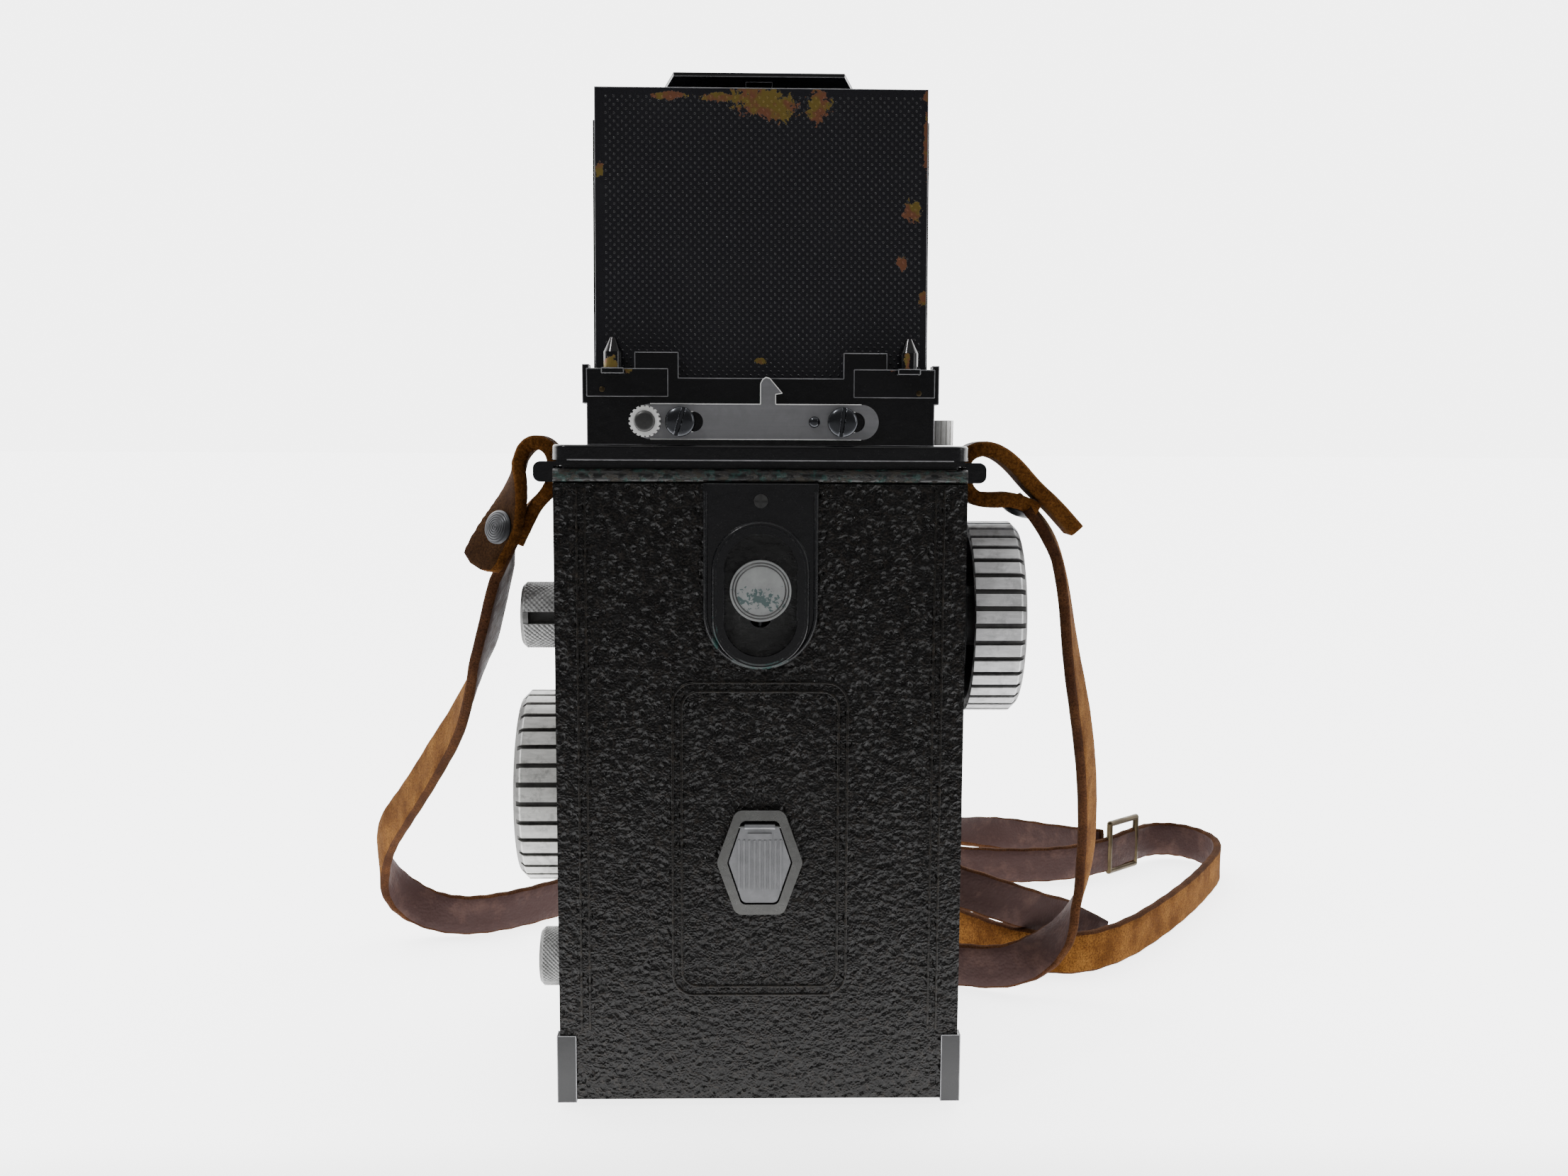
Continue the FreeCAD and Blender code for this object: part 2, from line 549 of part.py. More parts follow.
def magnifier_frame():
    y, z = MAGNIFIER_AXIS_Y, MAGNIFIER_AXIS_Z
    low, half = z - MAGNIFIER_LENGTH, MAGNIFIER_THICK / 2
    plate = box(-MAGNIFIER_HALF, MAGNIFIER_HALF, y - half, y + half, low, z)
    foot = rod("x", y, z, half, -MAGNIFIER_HALF, MAGNIFIER_HALF)
    pivots = rod("x", y, z, MAGNIFIER_PIN_R, -EAR_X[1], EAR_X[1])
    lens_z = low + MAGNIFIER_HALF
    return fuse(plate, foot, pivots).cut(rod("y", 0, lens_z, MAGNIFIER_LENS_R, y - 3, y + 3))


def lens_solid(x, z, r, y0, y1, bulge):
    """A lens on an axis along Y: a disc with a bulging face towards -Y."""
    disc = rod("y", x, z, r, y0, y1)
    ball_r = (r * r + bulge * bulge) / (2 * bulge)
    ball = Part.makeSphere(ball_r, V(x, y0 - bulge + ball_r, z))
    reach = rod("y", x, z, r, y0 - bulge - 0.1, y1)
    return reach.common(ball).fuse(disc).removeSplitter()


def magnifier_lens():
    z = MAGNIFIER_AXIS_Z - MAGNIFIER_LENGTH + MAGNIFIER_HALF
    y0, y1 = MAGNIFIER_AXIS_Y - 0.3, MAGNIFIER_AXIS_Y + 0.8
    return lens_solid(0, z, MAGNIFIER_LENS_R, y0, y1, 0.7)


save("hood_rear_panel", rear_panel())
save("hood_left_panel", side_panel("left"))
save("hood_right_panel", side_panel("right"))
save("hood_lid", hood_lid())
save("magnifier_frame", magnifier_frame())
save("magnifier_lens", magnifier_lens())


def latch_bar():
    bar = slot_xz(LATCH_X[0] + LATCH_HALF, LATCH_X[1] - LATCH_HALF, LATCH_Z, LATCH_HALF, *LATCH_Y)
    through = (LATCH_Y[0] - 1, LATCH_Y[1] + 1)
    half = LATCH_SCREW_R + 0.1
    slots = [slot_xz(x - LATCH_TRAVEL, x, LATCH_Z, half, *through) for x in LATCH_SCREW_X]
    outline = [
        (0.1, 135.0),
        (0.1, 139.3),
        (-0.3, 140.1),
        (-0.9, 140.5),
        (-1.6, 140.3),
        (-3.9, 137.6),
        (-2.7, 137.4),
        (-2.7, 135.0),
    ]
    hook = plate_xz(outline, *LATCH_Y)
    rivet = rod("y", -9.9, LATCH_Z, 1.0, LATCH_Y[1] - 0.2, LATCH_Y[1] + 0.4)
    return fuse(bar.cut(slots), hook, rivet)


def latch_knob():
    """The knurled finger button at the end of the latch bar."""
    x, r = LATCH_KNOB_X, LATCH_KNOB_R
    knob = rod("y", x, LATCH_Z, r, LATCH_Y[1], LATCH_Y[1] + LATCH_KNOB_HEIGHT)
    cuts = []
    for i in range(20):
        cut = box(x - 0.22, x + 0.22, LATCH_Y[1] - 1, LATCH_Y[1] + 5, LATCH_Z + r - 0.25, LATCH_Z + r + 1)
        cut.rotate(V(x, 0, LATCH_Z), V(0, 1, 0), 360.0 * i / 20)
        cuts.append(cut)
    return knob.cut(cuts)


def latch_screw(x, turn):
    """A slotted screw whose shank guides the bar."""
    y0 = HOOD_REAR
    shank = rod("y", x, LATCH_Z, LATCH_SCREW_R, y0, LATCH_Y[1] + 0.1)
    head = rod("y", x, LATCH_Z, LATCH_HEAD_R, LATCH_Y[1] + 0.1, LATCH_Y[1] + 1.6)
    slot = box(x - 4, x + 4, LATCH_Y[1] + 0.9, LATCH_Y[1] + 3, LATCH_Z - 0.35, LATCH_Z + 0.35)
    slot.rotate(V(x, 0, LATCH_Z), V(0, 1, 0), turn)
    return fuse(shank, head).cut(slot)


save("latch_bar", latch_bar())
save("latch_knob", latch_knob())
save("latch_screws", latch_screw(LATCH_SCREW_X[0], 52), latch_screw(LATCH_SCREW_X[1], 118))

# ---------------------------------------------------------------- back door
def back_door():
    plate = box(-DOOR_HALF, DOOR_HALF, DOOR_IN, DOOR_OUT, DOOR_AXIS_Z + KNUCKLE_R + 0.3, DOOR_TOP)
    bead = rod("x", DOOR_OUT - 0.2, DOOR_TOP - BEAD_R, BEAD_R, -DOOR_HALF, DOOR_HALF)
    middle = KNUCKLE_GAP_X - 0.2
    knuckle = rod("x", DOOR_AXIS_Y, DOOR_AXIS_Z, KNUCKLE_R, -middle, middle)
    web = box(-middle, middle, DOOR_IN, DOOR_OUT - 0.1, DOOR_AXIS_Z, DOOR_AXIS_Z + 4)
    post = box(-1.5, 1.5, DOOR_IN - 1.1, DOOR_IN + 0.5, SPRING_Z[0] - 1, SPRING_Z[0])
    through = (DOOR_IN - 3, DOOR_OUT + 3)
    half = STEM_R + 0.1
    stem_way = stadium_xz(BUTTON_Z - BUTTON_TRAVEL - half, BUTTON_Z + half, half, *through)
    cuts = [
        rod("x", DOOR_AXIS_Y, DOOR_AXIS_Z, DOOR_PIN_R + SLIDE_FIT, -HINGE_HALF, HINGE_HALF),
        rod("y", 0, WINDOW_Z, GLASS_R, *through),
        stem_way,
    ]
    return fuse(plate, bead, knuckle, web, post).cut(cuts)


def escutcheon_outline(y0, y1):
    """The U shape of the latch plate."""
    centre = ESCUTCHEON_Z[0] + ESCUTCHEON_HALF
    straight = box(-ESCUTCHEON_HALF, ESCUTCHEON_HALF, y0, y1, centre, ESCUTCHEON_Z[1])
    return fuse(straight, rod("y", 0, centre, ESCUTCHEON_HALF, y0, y1))


def back_leather():
    through = (DOOR_OUT - 1, DOOR_OUT + 2)
    sheet = box(-DOOR_HALF, DOOR_HALF, DOOR_OUT, DOOR_OUT + LEATHER, 1.5, DOOR_TOP - 2 * BEAD_R - 0.05)
    cuts = [
        escutcheon_outline(*through),
        hexagon_xz(BEZEL_X, BEZEL_Z, BEZEL_FLAT, WINDOW_Z, *through, BEZEL_CORNER),
    ]
    for side in (-1, 1):
        x0, x1 = sorted((side * GUARD_X, side * (DOOR_HALF + 1)))
        cuts.append(box(x0, x1, *through, 0, GUARD_TOP))
    return sheet.cut(cuts)


def latch_escutcheon():
    low, high, half, rim = ESCUTCHEON_Z[0] + 0.4, KEYHOLE_Z - 4.1, 8.8, 1.9
    plate = escutcheon_outline(DOOR_OUT, DOOR_OUT + 1.1)
    raised = stadium_xz(low, high, half, DOOR_OUT + 0.5, DOOR_OUT + 1.8)
    well = stadium_xz(low + rim, high - rim, half - rim, DOOR_OUT - 1, DOOR_OUT + 3)
    screw_hole = rod("y", 0, KEYHOLE_Z, KEYHOLE_R, DOOR_OUT - 1, DOOR_OUT + 3)
    return fuse(plate, raised).cut([well, screw_hole])


def escutcheon_screw():
    """A small screw with a crossed slot."""
    r, half = KEYHOLE_R + 0.4, 0.2
    y = (DOOR_OUT + 1.2, DOOR_OUT + 3)
    shank = rod("y", 0, KEYHOLE_Z, KEYHOLE_R, DOOR_OUT, DOOR_OUT + 1.1)
    head = rod("y", 0, KEYHOLE_Z, r, DOOR_OUT + 1.1, DOOR_OUT + 1.4)
    level = box(-r, r, *y, KEYHOLE_Z - half, KEYHOLE_Z + half)
    upright = box(-half, half, *y, KEYHOLE_Z - r, KEYHOLE_Z + r)
    return fuse(shank, head).cut([level, upright])


def release_button():
    y0 = DOOR_OUT + 0.2
    blank = rod("y", 0, BUTTON_Z, BUTTON_R, y0, y0 + 2.0)
    radii = (BUTTON_R - 1.15, BUTTON_R - 0.6)
    grooves = [ring("y", 0, BUTTON_Z, r + 0.2, r, y0 + 1.7, y0 + 3) for r in radii]
    return fuse(blank, rod("y", 0, BUTTON_Z, STEM_R, DOOR_IN - 0.1, y0)).cut(grooves)


def latch_bolt():
    return box(-4.0, 4.0, DOOR_IN - 1.1, DOOR_IN - 0.1, SPRING_Z[1], DOOR_TOP - 0.2)


def latch_spring():
    return rod("z", 0, DOOR_IN - 0.6, SPRING_R, *SPRING_Z)


def corner_guard(side):
    """Sheet metal wrapped round a lower corner of the door."""
    outside = DOOR_HALF + 0.5
    back = box(GUARD_X, outside, DOOR_OUT, DOOR_OUT + 1.0, 1.0, GUARD_TOP)
    flank = box(DOOR_HALF, outside, DOOR_IN, DOOR_OUT + 0.5, DOOR_AXIS_Z + 1.4, GUARD_TOP)
    guard = fuse(back, flank)
    return guard if side > 0 else mirror_x(guard)


def pressure_plate():
    half = PICTURE / 2 + 2
    plate = box(-half, half, FILM_Y + 0.3, FILM_Y + 1.2, TAKING_Z - half, TAKING_Z + half)
    return round_corners_y(plate, 2.0)


def round_corners_y(shape, r):
    edges = [e for e in shape.Edges if abs(e.tangentAt(e.FirstParameter).y) > 0.999]
    return shape.makeFillet(r, edges)


def pressure_spring(side):
    """A bowed leaf between the plate and the door."""
    y0, y1 = FILM_Y + 1.2, DOOR_IN
    x0, x1 = sorted((side * 10.0, side * 16.0))
    arch = []
    for z in (-18.0, 18.0):
        arch.append(box(x0, x1, y0, y1, TAKING_Z + z - 2, TAKING_Z + z + 2))
    leaf = box(x0, x1, y0 + 0.3, y0 + 0.7, TAKING_Z - 18, TAKING_Z + 18)
    return fuse(leaf, *arch)


def window_bezel():
    y0, y1 = DOOR_OUT, DOOR_OUT + 1.7
    frame = hexagon_xz(BEZEL_X, BEZEL_Z, BEZEL_FLAT, WINDOW_Z, y0, y1, BEZEL_CORNER)
    hole = hexagon_xz(BEZEL_X - 2.0, BEZEL_Z - 2.0, BEZEL_FLAT - 1.1, WINDOW_Z, y0 - 1, y1 + 1, 1.2)
    return frame.cut([hole, rod("x", FLAP_AXIS_Y, FLAP_AXIS_Z, FLAP_PIN_R, -FLAP_PIN_HALF, FLAP_PIN_HALF)])


def window_flap():
    """The lid over the red window, ribbed on its face and hinged at its top."""
    y0, y1 = FLAP_AXIS_Y - 0.3, FLAP_AXIS_Y + 0.3
    leaf = hexagon_xz(BEZEL_X - 2.3, BEZEL_Z - 2.3, BEZEL_FLAT - 1.3, WINDOW_Z, y0, y1, 1.1)
    leaf = leaf.cut(box(-9, 9, y0 - 1, y1 + 1, FLAP_AXIS_Z, WINDOW_Z + 12))
    ribs = []
    for i in range(FLAP_RIBS):
        x = i - (FLAP_RIBS - 1) / 2
        ribs.append(box(x - 0.2, x + 0.2, y1 - 0.1, y1 + 0.2, WINDOW_Z - 5.4, WINDOW_Z + 4.4))
    half = FLAP_KNUCKLE_HALF
    knuckle = rod("x", FLAP_AXIS_Y, FLAP_AXIS_Z, FLAP_KNUCKLE_R, -half, half)
    bar = box(-2.3, 2.3, y1 - 0.1, y1 + 0.35, WINDOW_Z + 4.6, WINDOW_Z + 5.7)
    hole = rod("x", FLAP_AXIS_Y, FLAP_AXIS_Z, FLAP_PIN_R + SLIDE_FIT, -5, 5)
    return fuse(leaf, knuckle, bar, *ribs).cut(hole)


save("back_door", back_door())
save("back_leather", back_leather())
save("latch_escutcheon", latch_escutcheon())
save("escutcheon_screw", escutcheon_screw())
save("release_button", release_button())
save("latch_bolt", latch_bolt())
save("latch_spring", latch_spring())
save("corner_guards", corner_guard(1), corner_guard(-1))
save("pressure_plate", pressure_plate())
save("pressure_springs", pressure_spring(-1), pressure_spring(1))
save("window_bezel", window_bezel())
save("window_glass", rod("y", 0, WINDOW_Z, GLASS_R, DOOR_OUT - 1, DOOR_OUT))
save("window_flap", window_flap())
flap_pin = rod("x", FLAP_AXIS_Y, FLAP_AXIS_Z, FLAP_PIN_R, -FLAP_PIN_HALF, FLAP_PIN_HALF)
save("window_flap_pin", flap_pin)

# ---------------------------------------------------------------- film transport
def take_up_spool():
    half, depth = SPOOL_HALF, SPOOL_BORE_DEPTH
    core = rod("x", WIND_Y, WIND_Z, SPOOL_CORE_R, -half, half)
    flanges = [rod("x", WIND_Y, WIND_Z, SPOOL_FLANGE_R, x, x + 1.0) for x in (-half, half - 1.0)]
    bores = [rod("x", WIND_Y, WIND_Z, SPOOL_BORE_R, x, x + depth) for x in (-half, half - depth)]
    slit = box(-24, 24, WIND_Y - 0.6, WIND_Y + 0.6, WIND_Z - 7, WIND_Z + 7)
    return fuse(core, *flanges).cut(bores + [slit])


def winding_knob():
    x0, x1 = WIND_KNOB_X
    knob = ribbed_knob(x0, x1, WIND_Y, WIND_Z, WIND_KNOB_R, 36, 1.0, 1.3)
    hollow = ring("x", WIND_Y, WIND_Z, WIND_KNOB_R - 2.2, 6.0, x0 - 1, x1 - 2.5)
    dish = rod("x", WIND_Y, WIND_Z, WIND_KNOB_R - 3.6, x1 - 0.6, x1 + 1)
    return mirror_x(knob.cut([hollow, dish]))


def winding_shaft():
    end = SPOOL_HALF - SPOOL_BORE_DEPTH + 0.5
    shaft = rod("x", WIND_Y, WIND_Z, WIND_SHAFT_R, -WIND_KNOB_X[0], -SPOOL_HALF - 0.2)
    return fuse(shaft, rod("x", WIND_Y, WIND_Z, SPOOL_BORE_R - SLIDE_FIT, -SPOOL_HALF - 0.2, -end))


def spool_knob(y, z, r, x_out, latched):
    """A pull knob whose pin holds one end of a spool."""
    x_in = HALF_WIDTH + LEATHER + 0.4
    head = rod("x", y, z, r, x_in, x_out)
    rim = [e for e in head.Edges if abs(e.CenterOfMass.x - x_out) < 0.01 and e.Length > 2 * r]
    head = head.makeChamfer(0.5, rim)
    if latched:
        head = head.cut(box(x_in - 1, x_out - 1.6, y + r - 2.0, y + r + 1, z - 1.15, z + 1.15))
    pin_end = SPOOL_HALF - SPOOL_BORE_DEPTH + 1.2
    shaft = rod("x", y, z, SHAFT_R, SPOOL_HALF + 0.2, x_in)
    return fuse(head, shaft, rod("x", y, z, SPOOL_BORE_R - SLIDE_FIT, pin_end, SPOOL_HALF + 0.2))


def counter_dial():
    """A small frame counter on the top plate beside the hood."""
    low = PLATE_TOP + 0.1
    high = low + COUNTER_HEIGHT
    dial = rod("z", COUNTER_X, COUNTER_Y, COUNTER_R, low, high)
    marks = []
    for i in range(16):
        y = COUNTER_Y + COUNTER_R - 0.2
        cut = box(COUNTER_X - 0.2, COUNTER_X + 0.2, y, y + 1, low - 1, high + 1)
        cut.rotate(V(COUNTER_X, COUNTER_Y, 0), V(0, 0, 1), 360.0 * i / 16)
        marks.append(cut)
    return dial.cut(marks)


save("take_up_spool", take_up_spool())
save("winding_knob", winding_knob())
save("winding_shaft", winding_shaft())
save("upper_spool_knob", spool_knob(WIND_Y, WIND_Z, 6.4, 47.3, True))
save("lower_spool_knob", spool_knob(SUPPLY_Y, SUPPLY_Z, 5.9, 45.5, False))
save("counter_dial", counter_dial())

# ---------------------------------------------------------------- focusing and lenses
def focusing_knob():
    x0, x1 = FOCUS_KNOB_X
    knob = ribbed_knob(x0, x1, FOCUS_Y, FOCUS_Z, FOCUS_KNOB_R, 32, 1.0, 1.6)
    hollow = ring("x", FOCUS_Y, FOCUS_Z, FOCUS_KNOB_R - 2.4, 6.0, x0 - 1, x1 - 2.5)
    dish = rod("x", FOCUS_Y, FOCUS_Z, FOCUS_KNOB_R - 5.0, x1 - 0.5, x1 + 1)
    return knob.cut([hollow, dish])


def focus_shaft():
    shaft = rod("x", FOCUS_Y, FOCUS_Z, SHAFT_R, RACK_X[1] + 1.0, FOCUS_KNOB_X[0])
    return fuse(shaft, rod("x", FOCUS_Y, FOCUS_Z, PINION_R, RACK_X[0], RACK_X[1] + 1.0))


def lens_board():
    """The sliding front, with its two light tubes and the bar that the focusing pinion drives."""
    board = box(-BOARD_HALF, BOARD_HALF, BOARD_FRONT, BOARD_BACK, *BOARD_Z)
    board = round_corners_y(board, 5.0)
    tubes = [
        rod("y", 0, TAKING_Z, TAKING_TUBE_R, BOARD_FRONT, -26.0),
        rod("y", 0, VIEWING_Z, VIEWING_TUBE_R, BOARD_FRONT, -28.5),
    ]
    rack = box(RACK_X[0], BOARD_HALF, BOARD_BACK - 0.5, FOCUS_Y + 2.5, *RACK_Z)
    bores = [rod("y", 0, z, TUBE_BORE_R, BOARD_FRONT - 1, -20) for z in (TAKING_Z, VIEWING_Z)]
    return fuse(board, *tubes, rack).cut(bores)


def shutter_housing():
    drum = rod("y", 0, TAKING_Z, SHUTTER_R, SHUTTER_FRONT, BOARD_FRONT)
    boss = rod("y", 0, TAKING_Z, BOSS_R, BOSS_FRONT, SHUTTER_FRONT)
    seat = rod("y", 0, TAKING_Z, 10.5, BOSS_FRONT - 1, BOSS_FRONT + 2.4)
    bore = rod("y", 0, TAKING_Z, 9.0, BOSS_FRONT - 1, BOARD_FRONT + 0.5)
    return fuse(drum, boss).cut([seat, bore])


def speed_ring():
    y = (SHUTTER_FRONT - 1.8, SHUTTER_FRONT - 0.1)
    blank = ring("y", 0, TAKING_Z, RING_R, BOSS_R + SLIDE_FIT, *y)
    cuts = []
    for i in range(48):
        z = TAKING_Z + RING_R - 0.4
        cut = box(-0.4, 0.4, y[0] - 1, y[1] + 1, z, z + 2)
        cut.rotate(V(0, 0, TAKING_Z), V(0, 1, 0), 360.0 * i / 48)
        cuts.append(cut)
    return blank.cut(cuts)


def collar_lever(y0, y1, angle, reach):
    """A thin collar round the shutter with a finger tab; angle is measured from +Z towards +X."""
    collar = ring("y", 0, TAKING_Z, SHUTTER_R + 1.0, SHUTTER_R + SLIDE_FIT, y0, y1)
    tab = box(-1.6, 1.6, y0, y1, TAKING_Z + SHUTTER_R + 0.5, TAKING_Z + SHUTTER_R + reach)
    tab.rotate(V(0, 0, TAKING_Z), V(0, 1, 0), angle)
    return fuse(collar, tab)


def viewing_barrel():
    front, bore = BARREL_FRONT, BARREL_BORE_R
    barrel = ring("y", 0, VIEWING_Z, BARREL_R, bore, front, BOARD_FRONT)
    rim = ring("y", 0, VIEWING_Z, BARREL_R + 0.9, bore, front, front + 2.0)
    seat = ring("y", 0, VIEWING_Z, bore + 0.1, bore - 1.5, front + 6.0, front + 7.0)
    return fuse(barrel, rim, seat)


save("focusing_knob", focusing_knob())
save("focus_shaft", focus_shaft())
save("lens_board", lens_board())
save("shutter_housing", shutter_housing())
save("speed_ring", speed_ring())
save("aperture_lever", collar_lever(-40.6, -39.4, 110, 5.5))
save("release_lever", collar_lever(-42.4, -41.2, -115, 6.5))
save("cocking_lever", collar_lever(-44.4, -43.0, -75, 6.5))
save("viewing_barrel", viewing_barrel())
save(
    "lens_elements",
    lens_solid(0, VIEWING_Z, BARREL_BORE_R, BARREL_FRONT + 3.5, BARREL_FRONT + 6.0, 1.6),
    lens_solid(0, TAKING_Z, 10.5, BOSS_FRONT + 1.0, BOSS_FRONT + 2.4, 1.0),
    rod("y", 0, TAKING_Z, TUBE_BORE_R, -30.5, -28.0),
)

# ---------------------------------------------------------------- strap
# Both routes start at the strap's ends on the lugs and run to the surface,
# where the strap lies on its edge.
BUCKLE_ROUTE = [
    (50.0, 17.0, 113.0),
    (54.5, 12.0, 101.0),
    (58.0, 4.0, 85.0),
    (64.0, -9.0, 70.0),
    (73.0, -24.0, 57.0),
    (83.0, -40.0, 43.0),
    (91.0, -54.0, 33.0),
    (95.0, -64.0, 23.0),
    (94.0, -71.0, 14.0),
    (87.0, -75.0, 7.0),
    (76.0, -73.0, 5.0),
    (64.5, -79.0, 5.0),
    (53.0, -91.5, 5.0),
    (38.0, -110.0, 5.0),
    (20.0, -134.0, 5.0),
    (-2.0, -154.0, 5.0),
    (-25.0, -170.0, 5.0),
    (-42.0, -177.5, 5.0),
    (-57.0, -178.0, 5.0),
    (-70.0, -172.0, 5.0),
    (-82.5, -162.5, 5.0),
    (-94.5, -150.0, 6.0),
    (-105.5, -136.5, 8.0),
]
TAIL_ROUTE = [
    (-52.0, 17.0, 117.0),
    (-58.0, 15.0, 111.0),
    (-62.0, 10.0, 101.0),
    (-65.0, 4.0, 86.0),
    (-70.0, -5.0, 69.0),
    (-74.0, -15.0, 51.0),
    (-76.0, -24.0, 35.0),
    (-75.0, -26.5, 22.0),
    (-70.5, -27.5, 12.5),
    (-61.0, -28.0, 6.5),
    (-49.0, -32.0, 5.0),
    (-37.5, -41.0, 5.0),
    (-21.5, -44.5, 5.0),
    (-8.0, -51.0, 5.0),
    (-2.0, -63.0, 5.0),
    (-6.0, -76.0, 5.0),
    (-18.0, -84.0, 5.0),
    (-32.0, -84.0, 5.0),
    (-44.0, -76.0, 5.0),
    (-53.0, -62.0, 5.0),
    (-63.0, -46.0, 5.0),
    (-77.0, -39.5, 5.0),
    (-92.0, -51.0, 5.0),
    (-107.0, -71.5, 5.0),
    (-120.0, -92.0, 5.0),
    (-130.5, -111.0, 5.0),
    (-138.5, -127.5, 5.0),
    (-140.5, -141.5, 5.5),
    (-134.5, -152.5, 6.0),
    (-124.5, -152.5, 6.5),
    (-115.5, -142.5, 7.0),
    (-104.5, -132.0, 6.0),
    (-91.0, -125.5, 5.0),
    (-75.0, -123.5, 5.0),
    (-59.0, -126.5, 5.0),
    (-43.0, -131.5, 5.0),
    (-29.0, -135.0, 5.0),
    (-19.0, -129.5, 5.0),
    (-8.0, -120.0, 6.5),
    (-2.5, -106.0, 9.5),
    (-3.0, -91.0, 14.0),
    (-9.0, -76.0, 19.0),
    (-19.0, -63.0, 23.0),
    (-32.0, -52.0, 25.0),
    (-46.0, -45.0, 22.5),
    (-61.0, -44.5, 17.5),
    (-75.0, -50.0, 11.5),
    (-89.0, -60.0, 6.0),
]


def strap_tube(name, route):
    """A tube along straight runs joined by tangent arcs; prints its radii and compares its volume."""
    points = [V(*p) for p in route]
    edges, radii = [], []
    start = points[0]
    for before, corner, after in zip(points, points[1:], points[2:]):
        back, ahead = before - corner, after - corner
        reach = ARC_SHARE * min(back.Length, ahead.Length)
        back.normalize()
        ahead.normalize()
        turn = math.pi - back.getAngle(ahead)
        radius = reach / math.tan(turn / 2)
        towards = back + ahead
        towards.normalize()
        middle = corner + towards * (radius / math.cos(turn / 2) - radius)
        enter, leave = corner + back * reach, corner + ahead * reach
        edges.append(Part.LineSegment(start, enter).toShape())
        edges.append(Part.Arc(enter, middle, leave).toShape())
        radii.append(radius)
        start = leave
    edges.append(Part.LineSegment(start, points[-1]).toShape())
    path = Part.Wire(edges)
    length = sum(e.Length for e in edges)
    first = points[1] - points[0]
    ring_wire = Part.Wire([Part.makeCircle(STRAP_TUBE_R, points[0], first)])
    tube = path.makePipeShell([ring_wire], True, False)
    volume = math.pi * STRAP_TUBE_R**2 * length
    print(name, "length %.1f" % length, "volume ratio %.4f" % (tube.Volume / volume))
    print("  radii", " ".join("%.0f" % r for r in radii))
    return tube


def strap_end(side, tip_x, tip_z):
    """The strap's end: a loop round the lug bar, closed into two layers that run down to the rivet."""
    loop = rod("y", LUG_X, LUG_Z, LOOP_OUT, *END_Y)
    start, tip = V(LUG_X + 1.3, 0, LUG_Z - 0.8), V(tip_x, 0, tip_z)
    way = tip - start
    way.normalize()
    across = V(way.z, 0, -way.x) * STRAP_THICK
    corners = (start + across, tip + across, tip - across, start - across)
    tail = plate_xz([(p.x, p.z) for p in corners], *END_Y)
    end = fuse(loop, tail).cut(rod("y", LUG_X, LUG_Z, LOOP_IN, 0, 40))
    return end if side > 0 else mirror_x(end)


def strap_rivet(side, x, z, tilt):
    """A domed rivet through the two layers."""
    low, high = z - STRAP_THICK, z + STRAP_THICK
    shank = rod("z", x, RIVET_Y, RIVET_R, low, high)
    head = rod("z", x, RIVET_Y, RIVET_R + 2.1, high, high + 0.8)
    washer = rod("z", x, RIVET_Y, RIVET_R + 1.4, low - 0.6, low)
    rivet = fuse(shank, head, washer)
    rivet.rotate(V(x, RIVET_Y, z), V(0, 1, 0), tilt)
    return rivet if side > 0 else mirror_x(rivet)


def buckle():
    """A rectangular wire frame standing on its edge in line with the strap."""
    r, half_long, low, high = 0.9, 7.0, 1.0, 15.5
    centre, heading = V(-112.0, -138.5, 0), math.degrees(math.atan2(10.5, 11.0))
    rods = []
    for x in (-half_long, half_long):
        rods.append(rod("z", x, 0, r, low, high))
    for z in (low, high):
        rods.append(rod("x", 0, z, r, -half_long, half_long))
        rods += [Part.makeSphere(r, V(x, 0, z)) for x in (-half_long, half_long)]
    frame = fuse(*rods)
    frame.rotate(V(0, 0, 0), V(0, 0, 1), heading)
    frame.translate(centre)
    return frame


save("strap_buckle_side", strap_tube("strap_buckle_side", BUCKLE_ROUTE))
save("strap_tail_side", strap_tube("strap_tail_side", TAIL_ROUTE))
save("strap_ends", strap_end(1, 51.5, 109.0), strap_end(-1, 58.0, 114.5))
save("strap_rivets", strap_rivet(1, 48.9, 113.4, 56), strap_rivet(-1, 53.0, 117.2, 29))
save("strap_buckle", buckle())
print(len(SAVED), "nodes")
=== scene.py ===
"""Looks of the twin lens reflex camera. Metres, in the frame of the CAD; the back door faces +Y."""

import math

import bmesh
import bpy
import numpy as np
from mathutils import Matrix, Vector


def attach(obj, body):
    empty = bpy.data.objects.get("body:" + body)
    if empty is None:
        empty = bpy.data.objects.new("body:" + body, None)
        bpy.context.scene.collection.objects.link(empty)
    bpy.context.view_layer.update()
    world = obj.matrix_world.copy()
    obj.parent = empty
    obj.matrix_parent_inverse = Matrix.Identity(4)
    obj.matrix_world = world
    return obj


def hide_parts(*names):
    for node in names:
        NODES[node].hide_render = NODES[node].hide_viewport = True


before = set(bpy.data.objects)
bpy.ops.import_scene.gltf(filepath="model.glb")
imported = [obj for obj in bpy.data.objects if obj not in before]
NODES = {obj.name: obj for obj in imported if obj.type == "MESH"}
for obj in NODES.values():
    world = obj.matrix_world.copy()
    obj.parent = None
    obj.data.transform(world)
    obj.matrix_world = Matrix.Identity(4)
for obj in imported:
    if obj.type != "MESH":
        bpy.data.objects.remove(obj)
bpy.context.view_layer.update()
MM = 0.001

# ---------------------------------------------------------------- camera
SENSOR_WIDTH = 36.0
FOCAL_LENGTH = 36.87884
SHIFT_X, SHIFT_Y = 0.0014919, 0.0399638
CAMERA_AT = Vector((3.06, 336.0, 128.2)) * MM
YAW, PITCH, ROLL = math.radians(-1.35), math.radians(7.32), math.radians(-0.272)

